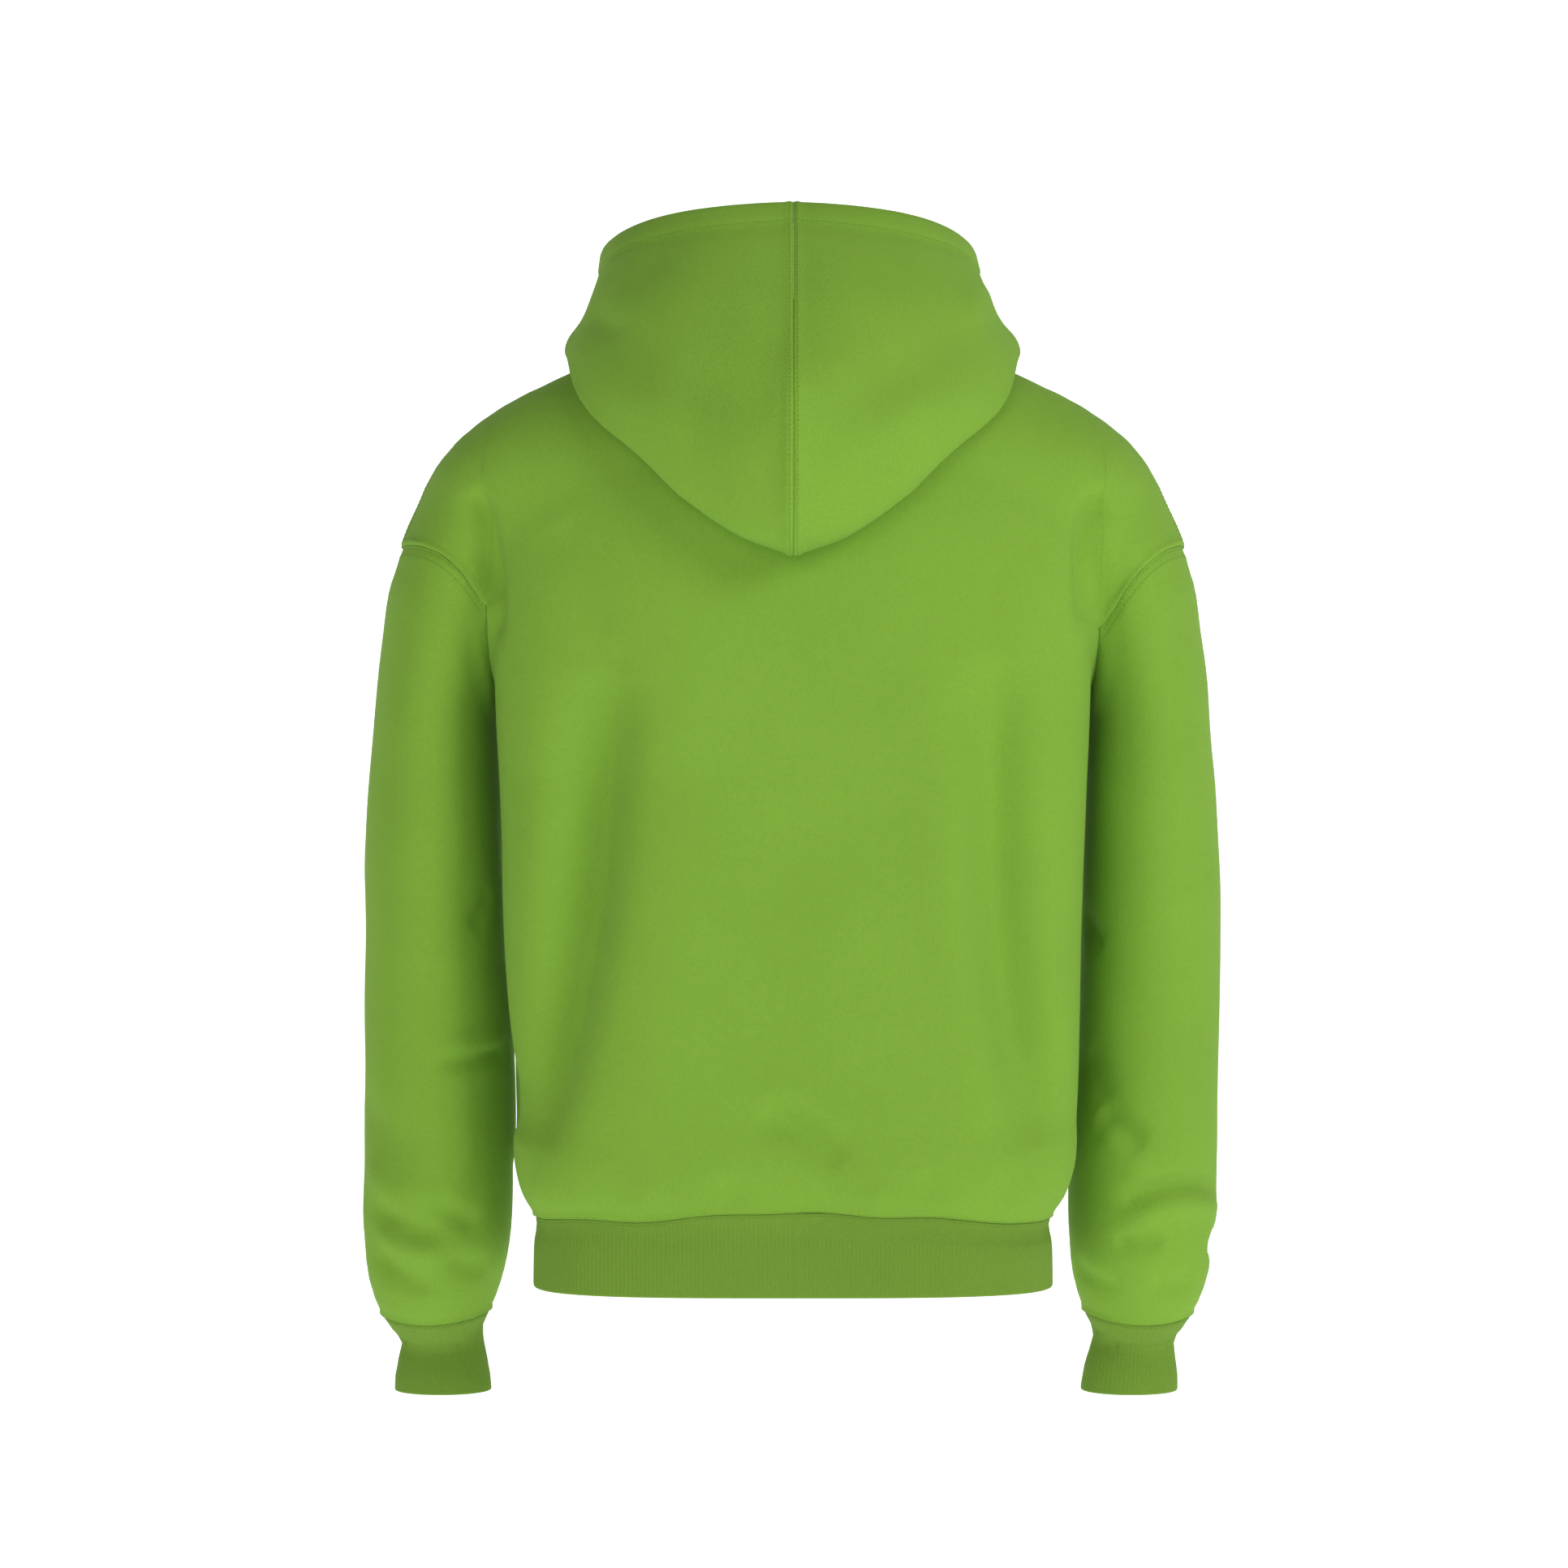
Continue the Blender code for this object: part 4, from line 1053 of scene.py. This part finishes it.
sleeves = {}
for word, side, creases in (("left", 1, LEFT_SLEEVE_FOLDS), ("right", -1, RIGHT_SLEEVE_FOLDS)):
    coarse, coarse_lay = sleeve(side)
    grid, lay, columns = fine_tube(coarse, coarse_lay, PITCH, PITCH)
    free = fade(nearest(grid, grid[0]), *CREASE_FADE).reshape(grid.shape[:2])[..., None]
    grid += free * (settle(grid, steps=2) - grid)
    grid, lay = meet(grid, lay, fine_hole(side), columns, ARMHOLE_MEET)
    foot = [np.vstack([part[-1], part[-1, :1]]) for part in (grid, lay)]
    sleeves[side] = coarse[-1], coarse_lay[-1], (np.r_[columns, len(coarse[0])], *foot)
    p = grid.reshape(-1, 3)
    seam_gap = nearest(p, np.vstack([grid[0], grid[-1]]))
    lift = SLEEVE_FOLDS_DEEPER * fold_lift(arm_places(p, side), p[:, 2], creases)
    lift += slackness(p, *SLEEVE_SLACK, 4 + side)
    lift *= fade(seam_gap, 0.001, 0.014)
    lift += welt(nearest(p, grid[0]), *ARMHOLE_GROOVE) + welt(nearest(p, grid[-1]), *SEAM_WELT)
    made = raised(grid, lay, lift)
    piece = cloth(f"cloth_sleeve_{word}", made, lay, FLEECE, True, fleece)
    hang(piece, f"sleeve_{word}")
    stitches = sewn(f"stitches_sleeve_{word}", [
        beside(made, lay, EDGE_STITCH, True), beside(made, lay, TOP_STITCH, True),
        beside(made[::-1], lay[::-1], EDGE_STITCH, True)])


# Hood: two mirrored halves of the same fleece, seamed up the middle, lying down the back.
# The opening is turned in once, 22 mm wide, and stitched down.
TURNED_EDGE = 0.0036
CROWDED = 0.012
SMOOTH_ROUNDS = 8
HOOD_CLEAR_BY = 0.022
HOOD_CLEAR = 0.0070
EDGE_DEPTH = 0.022
RIGHT_RIM = 0.95                # the right half is a little narrower at the opening
KEEL = 0.016                    # how far the seam up the middle stands out
KEEL_REACH = 0.075
HOOD_PITCH = 0.0036
HOOD_SLACK = (0.055, 0.0011)
CENTRE_WELT = (0.0034, 0.0018, 0.0008)
RIM_GROOVE = (EDGE_DEPTH, 0.0020, -0.0016)
NECK_MEET = 0.014               # how far from the neck seam the hood is drawn to it
UNDERSIDE_LINES = (0, 1, 2, 2.5, 3, 3.5, 4, 4.5, 5)
OVERSIDE_ROWS = 7
HOOD_ROWS = len(UNDERSIDE_LINES) + OVERSIDE_ROWS
HOOD = table(
    "angle stand roll heel_r heel_z low_r low_z wide_r wide_z mid_r mid_z rim_r rim_z",
    (-20, 18, 18, 130, -107, 149.5, -124, 169.8, -74, 155, 24, 100, 109.2),
    (0, 18, 18, 128, -119, 147, -134, 168, -85, 150, 20, 90, 111.5),
    (20, 18, 18, 130, -107, 149.5, -124, 169.8, -74, 155, 24, 100, 109.2),
    (45, 18, 18, 134, -68, 153, -83, 172, -52, 159, 30, 115, 105.5),
    (70, 18, 18, 140, -22, 157.5, -36, 172.5, -18, 157.5, 37, 129, 99),
    (90, 18, 16, 143, 14, 160, 4, 171, 12, 150, 45, 141, 90),
    (135, 9, 5, 122, 9, 128, 17, 132, 28, 133.5, 44, 131, 64),
    (180, 10, 2, 118.5, -27, 119.5, -18, 120.5, -8, 121.5, 4, 119, 20),
)
HOOD_FOLDS = folds(
    (148, 36, 135, 24, 125, 12, 10, 10, -2.8),
    (135, 16, 70, -22, 10, -45, 20, 20, -3.6),
    (110, -22, 60, -62, 20, -92, 16, 16, 2.6),
    (-130, 20, -75, -20, -15, -46, 20, 20, -2.6),
    (-110, -22, -60, -62, -20, -92, 16, 16, 2.2),
    (-142, 58, -130, 40, -128, 22, 9, 9, 2.2),
    (90, 80, 105, 60, 120, 46, 12, 12, -1.6),
)


def lift_off(grid):
    """Raise the hood clear of the body, less so beside its neck seam."""
    height = np.linalg.norm(grid - grid[0], axis=-1).ravel()
    clear = HOOD_CLEAR * np.minimum(height / HOOD_CLEAR_BY, 1)
    flat = grid.reshape(-1, 3).copy()
    close = body_form(flat) < clear * np.linalg.norm(slope_of(body_form, flat), axis=1)
    close &= height > 0
    flat[close] = settle(flat[close], height=clear[close])
    return flat.reshape(grid.shape)


def hood_half(side):
    """Half of the hood from centre back to centre front; rows run from the neck to the rim."""
    neck = np.concatenate([quarters[side, 1][0][-1, :NECK_COLUMNS + 1],
                           quarters[side, -1][0][-1, NECK_COLUMNS - 1::-1]])
    angles = np.linspace(0, 180, len(neck))
    narrow = 1.0 if side > 0 else RIGHT_RIM
    columns = []
    for seam, angle in zip(neck, angles):
        turn = np.radians(angle)
        out = np.array([side * np.sin(turn), np.cos(turn), 0.0])
        up = np.array([0.0, 0.0, 1.0])

        def at(name, share=1.0):
            reach, height = (column(HOOD, f"{name}_{part}", angle) for part in "rz")
            squeeze = 1 - (1 - narrow) * share * abs(np.sin(turn))
            return reach * squeeze * out + height * up

        rise, run = column(HOOD, "stand", angle), column(HOOD, "roll", angle)
        stand = seam + rise * up + run / 4 * out
        roll = seam + (rise + 0.004) * up + run * out
        heel = at("heel", 0.0)
        points = np.array([seam, stand, roll, (roll + heel) / 2, heel, at("low", 0.0),
                           at("wide", 0.0), at("mid", 0.5), at("rim")])
        knots = run_along(points)
        under = np.interp(UNDERSIDE_LINES, np.arange(len(points)), knots)
        over = np.linspace(under[-1], knots[-1] - EDGE_DEPTH, OVERSIDE_ROWS + 1)
        rows = np.concatenate([under, over[1:], knots[-1:]])
        columns.append(np.stack([through(knots, points[:, k], rows) for k in range(3)], axis=1))
    grid = lift_off(np.stack(columns, axis=1))
    for _ in range(SMOOTH_ROUNDS):
        onward, back = grid[2:-1] - grid[1:-2], grid[:-3] - grid[1:-2]
        near = np.minimum(np.linalg.norm(onward, axis=-1), np.linalg.norm(back, axis=-1))
        share = 0.25 * np.clip(1 - near / CROWDED, 0, 1)
        grid[1:-2] += share[..., None] * (onward + back)
    grid = lift_off(grid)
    grid[:, [0, -1], 0] = 0.0
    return grid


def fine_neck(side):
    """The neck seam of the fine panels, from centre back round to centre front."""
    found = []
    for face in (1, -1):
        grid, lay, rows, columns = panels[face]
        pick = np.flatnonzero((side * columns >= 0) & (side * columns <= NECK_COLUMNS))[::side]
        found.append((side * columns[pick], grid[-1, pick], lay[-1, pick]))
    return past_front(*found, 2 * NECK_COLUMNS)


hoods = {}
for side in (1, -1):
    coarse = hood_half(side)
    rows = places(coarse, (0, HOOD_ROWS), ((True, True),), HOOD_PITCH)
    columns = places(coarse[5:-3].swapaxes(0, 1), (0, 2 * NECK_COLUMNS), ((True, True),),
                     HOOD_PITCH)
    grid = finer(coarse, rows, columns, False)
    grid, _ = meet(grid, grid, fine_neck(side), columns, NECK_MEET)
    lay = unit(np.cross(np.gradient(grid, axis=0), np.gradient(grid, axis=1)) * side)
    grid[:, [0, -1], 0] = lay[:, [0, -1], 0] = 0.0
    hoods[side] = grid, unit(lay), rows, columns
for word, side in (("left", 1), ("right", -1)):
    grid, lay, rows, columns = hoods[side]
    facing = hoods[-side][1][:, 0]
    middle_rows = np.linspace(0, 1, len(rows)), np.linspace(0, 1, len(facing))
    other = np.stack([np.interp(*middle_rows, facing[:, k]) for k in range(3)], axis=1)
    lay[:, 0] = unit(lay[:, 0] + other)
    p = grid.reshape(-1, 3)
    over_side = fade(rows, len(UNDERSIDE_LINES) - 1.0, 1.5)[:, None] * np.ones(len(columns))
    neck_gap = np.linalg.norm(grid - grid[0], axis=2).ravel()
    rim_gap = nearest(p, grid[-1])
    centre_gap = nearest(p, grid[:, 0])
    on_back = np.clip(p[:, 1] / 0.03, 0, 1) * over_side.ravel()
    lift = fold_lift(p[:, 0], p[:, 2], HOOD_FOLDS) * on_back
    lift += slackness(p, *HOOD_SLACK, 9 + side) * over_side.ravel()
    lift *= ease(centre_gap / 0.020) * ease(rim_gap / 0.020)
    keel = np.clip(1 - centre_gap / KEEL_REACH, 0, 1) ** 1.5
    lift += KEEL * keel * fade(neck_gap, 0.06, 0.05) * ease(rim_gap / 0.06)
    lift += welt(centre_gap, *CENTRE_WELT) + welt(rim_gap, *RIM_GROOVE)
    lift += 0.0010 * ease((EDGE_DEPTH - 0.002 - rim_gap) / 0.004) * ease(rim_gap / 0.006)
    made = raised(grid, lay, lift)
    edge = ease((EDGE_DEPTH + 0.002 - rim_gap.reshape(grid.shape[:2])) / 0.002)
    thickness = FLEECE + (TURNED_EDGE - FLEECE) * edge
    piece = cloth(f"cloth_hood_{word}", made, lay, thickness, False, fleece)
    hang(piece, f"hood_{word}")
    stitches = sewn(f"stitches_hood_{word}", [
        beside(made.swapaxes(0, 1), lay.swapaxes(0, 1), 0.0028),
        beside(made[::-1], lay[::-1], EDGE_DEPTH - 0.0015), beside(made, lay, EDGE_STITCH)])


# Hem and cuffs: bands of 1x1 rib knit, doubled and sewn on slightly stretched, so the fleece
# above them blouses out. The ribs run up and down; the lower edge is the fold of the band.
RIB = 0.0028
RIB_PITCH = 0.0030
RIB_HEIGHT = 0.00018
RIB_COLUMNS = 4                 # fine columns to each rib
RIB_ROW_PITCH = 0.006
RIB_FADE = 0.004                # the ribs run out this far from an edge
RIB_INSIDE = 0.6                # they are lower on the inside
HEM_MEET = 0.020                # how far from its seam each band is drawn to it
CUFF_MEET = 0.012
HEM_ROWS = 2
CUFF_ROWS = 2
CUFF_BOTTOM = -0.762
RIB_GREEN = (0.165, 0.305, 0.036)


def hem():
    """Ribbed band: continues down from the foot of the body, all the way round."""
    (left, left_lay), (right, right_lay) = (
        ring(side, lambda quarter: [g[0, :SIDE_COLUMN + 1] for g in quarter]) for side in (1, -1))
    top = np.concatenate([left, right[:0:-1]])
    rows = [top]
    for step in np.linspace(0, 1, HEM_ROWS + 1)[1:]:
        row = top.copy()
        row[:, 2] = top[:, 2] * (1 - step) + HEM_BOTTOM * step
        rows.append(settle(row))
    grid = np.array(rows)
    lay = outward(grid)
    lay[0] = np.concatenate([left_lay, right_lay[:0:-1]])
    return grid, lay


def fine_foot():
    """The foot of the fine panels all the way round, from centre back past the left."""
    at, points, lays = [], [], []
    for side, face, start, way in ((1, 1, 0, 1), (1, -1, 2 * SIDE_COLUMN, -1),
                                   (-1, -1, 2 * SIDE_COLUMN, 1), (-1, 1, 4 * SIDE_COLUMN, -1)):
        grid, lay, rows, columns = panels[face]
        pick = np.flatnonzero((side * columns >= 0) & (side * columns <= SIDE_COLUMN))
        place = start + way * side * columns[pick]
        order = np.argsort(place)
        at.append(place[order])
        points.append(grid[0, pick[order]])
        lays.append(lay[0, pick[order]])
    return np.concatenate(at), np.vstack(points), np.vstack(lays)


def cuff(side, seam, seam_lay):
    """Ribbed band: continues down from the foot of the sleeve to its folded lower edge."""
    rows = [seam]
    for height in np.linspace(CUFF_TOP, CUFF_BOTTOM, CUFF_ROWS + 1)[1:]:
        rows.append(settle(arm_ring(side, np.full(len(seam), height), len(seam))))
    grid = np.array(rows)
    lay = outward(grid)
    lay[0] = seam_lay
    lay[-1, :, 2] = 0.0
    lay[-1] = unit(lay[-1])
    return grid, lay


rib_tree = bpy.data.node_groups.new("raise_ribs", "GeometryNodeTree")
socket(rib_tree, "Band", "NodeSocketGeometry", "INPUT")
RIB_DEPTH = socket(rib_tree, "Rib height", "NodeSocketFloat", "INPUT", RIB_HEIGHT)
RIB_CLOTH = socket(rib_tree, "Cloth", "NodeSocketMaterial", "INPUT")
socket(rib_tree, "Ribbed band", "NodeSocketGeometry", "OUTPUT")
given = add(rib_tree, "NodeGroupInput").outputs
rib_place, rib_share = (add(rib_tree, "GeometryNodeInputNamedAttribute", {"Name": name},
                            data_type="FLOAT") for name in ("rib_number", "rib_share"))
wave = sums(rib_tree, "COSINE", sums(rib_tree, "MULTIPLY", rib_place, 2 * np.pi))
tall = sums(rib_tree, "MULTIPLY", sums(rib_tree, "MULTIPLY", wave, rib_share), given["Rib height"])
shift = add(rib_tree, "ShaderNodeVectorMath", {0: add(rib_tree, "GeometryNodeInputNormal"),
                                               "Scale": tall}, operation="SCALE")
moved = add(rib_tree, "GeometryNodeSetPosition", {"Geometry": given["Band"], "Offset": shift})
real = add(rib_tree, "GeometryNodeRealizeInstances", {0: moved})
clad = add(rib_tree, "GeometryNodeSetMaterial", {"Geometry": real, "Material": given["Cloth"]})
add(rib_tree, "NodeGroupOutput", {0: clad})

rib_knit = knit_cloth("green_rib_knit", RIB_GREEN, RIB_PITCH / 2, 0.0011, 1.6)


def rib_band(name, grid, lay):
    """A doubled band of rib: the smooth wall, its ribs raised on it, and its stitches."""
    piece = cloth("rib_" + name, grid, lay, RIB, True, rib_knit)
    rows, columns = grid.shape[:2]
    number = np.tile(np.linspace(0, columns // RIB_COLUMNS, columns, endpoint=False), rows)
    edge_gap = nearest(grid[:, 0], grid[[0, -1], 0])
    height = np.repeat(np.minimum(edge_gap / RIB_FADE, 1.0), columns)
    for key, values in (("rib_number", np.tile(number, 2)),
                        ("rib_share", np.r_[height, RIB_INSIDE * height])):
        piece.data.attributes.new(key, "FLOAT", "POINT").data.foreach_set("value", values)
    grown(piece, rib_tree, {RIB_DEPTH: RIB_HEIGHT, RIB_CLOTH: rib_knit})
    hang(piece, name)
    stitches = sewn("stitches_" + name, [beside(grid, lay, EDGE_STITCH, True)])


def fine_band(coarse, lay):
    """Fine grid of a band, with a few columns to each rib, lying on the body below its seam."""
    grid, lay, columns = fine_tube(coarse, lay, RIB_ROW_PITCH, RIB_PITCH / RIB_COLUMNS)
    grid[1:] = settle(grid[1:], steps=2)
    return grid, lay, columns


grid, lay, columns = fine_band(*hem())
grid[..., 2] += seam_wave(grid.reshape(-1, 3)).reshape(grid.shape[:2])
grid, lay = meet(grid, lay, fine_foot(), columns, HEM_MEET)
rib_band("hem_rib", grid, lay)
for word, side in (("left", 1), ("right", -1)):
    seam, seam_lay, foot = sleeves[side]
    grid, lay, columns = fine_band(*cuff(side, seam, seam_lay))
    grid, lay = meet(grid, lay, foot, columns, CUFF_MEET)
    rib_band(f"cuff_{word}", grid, lay)
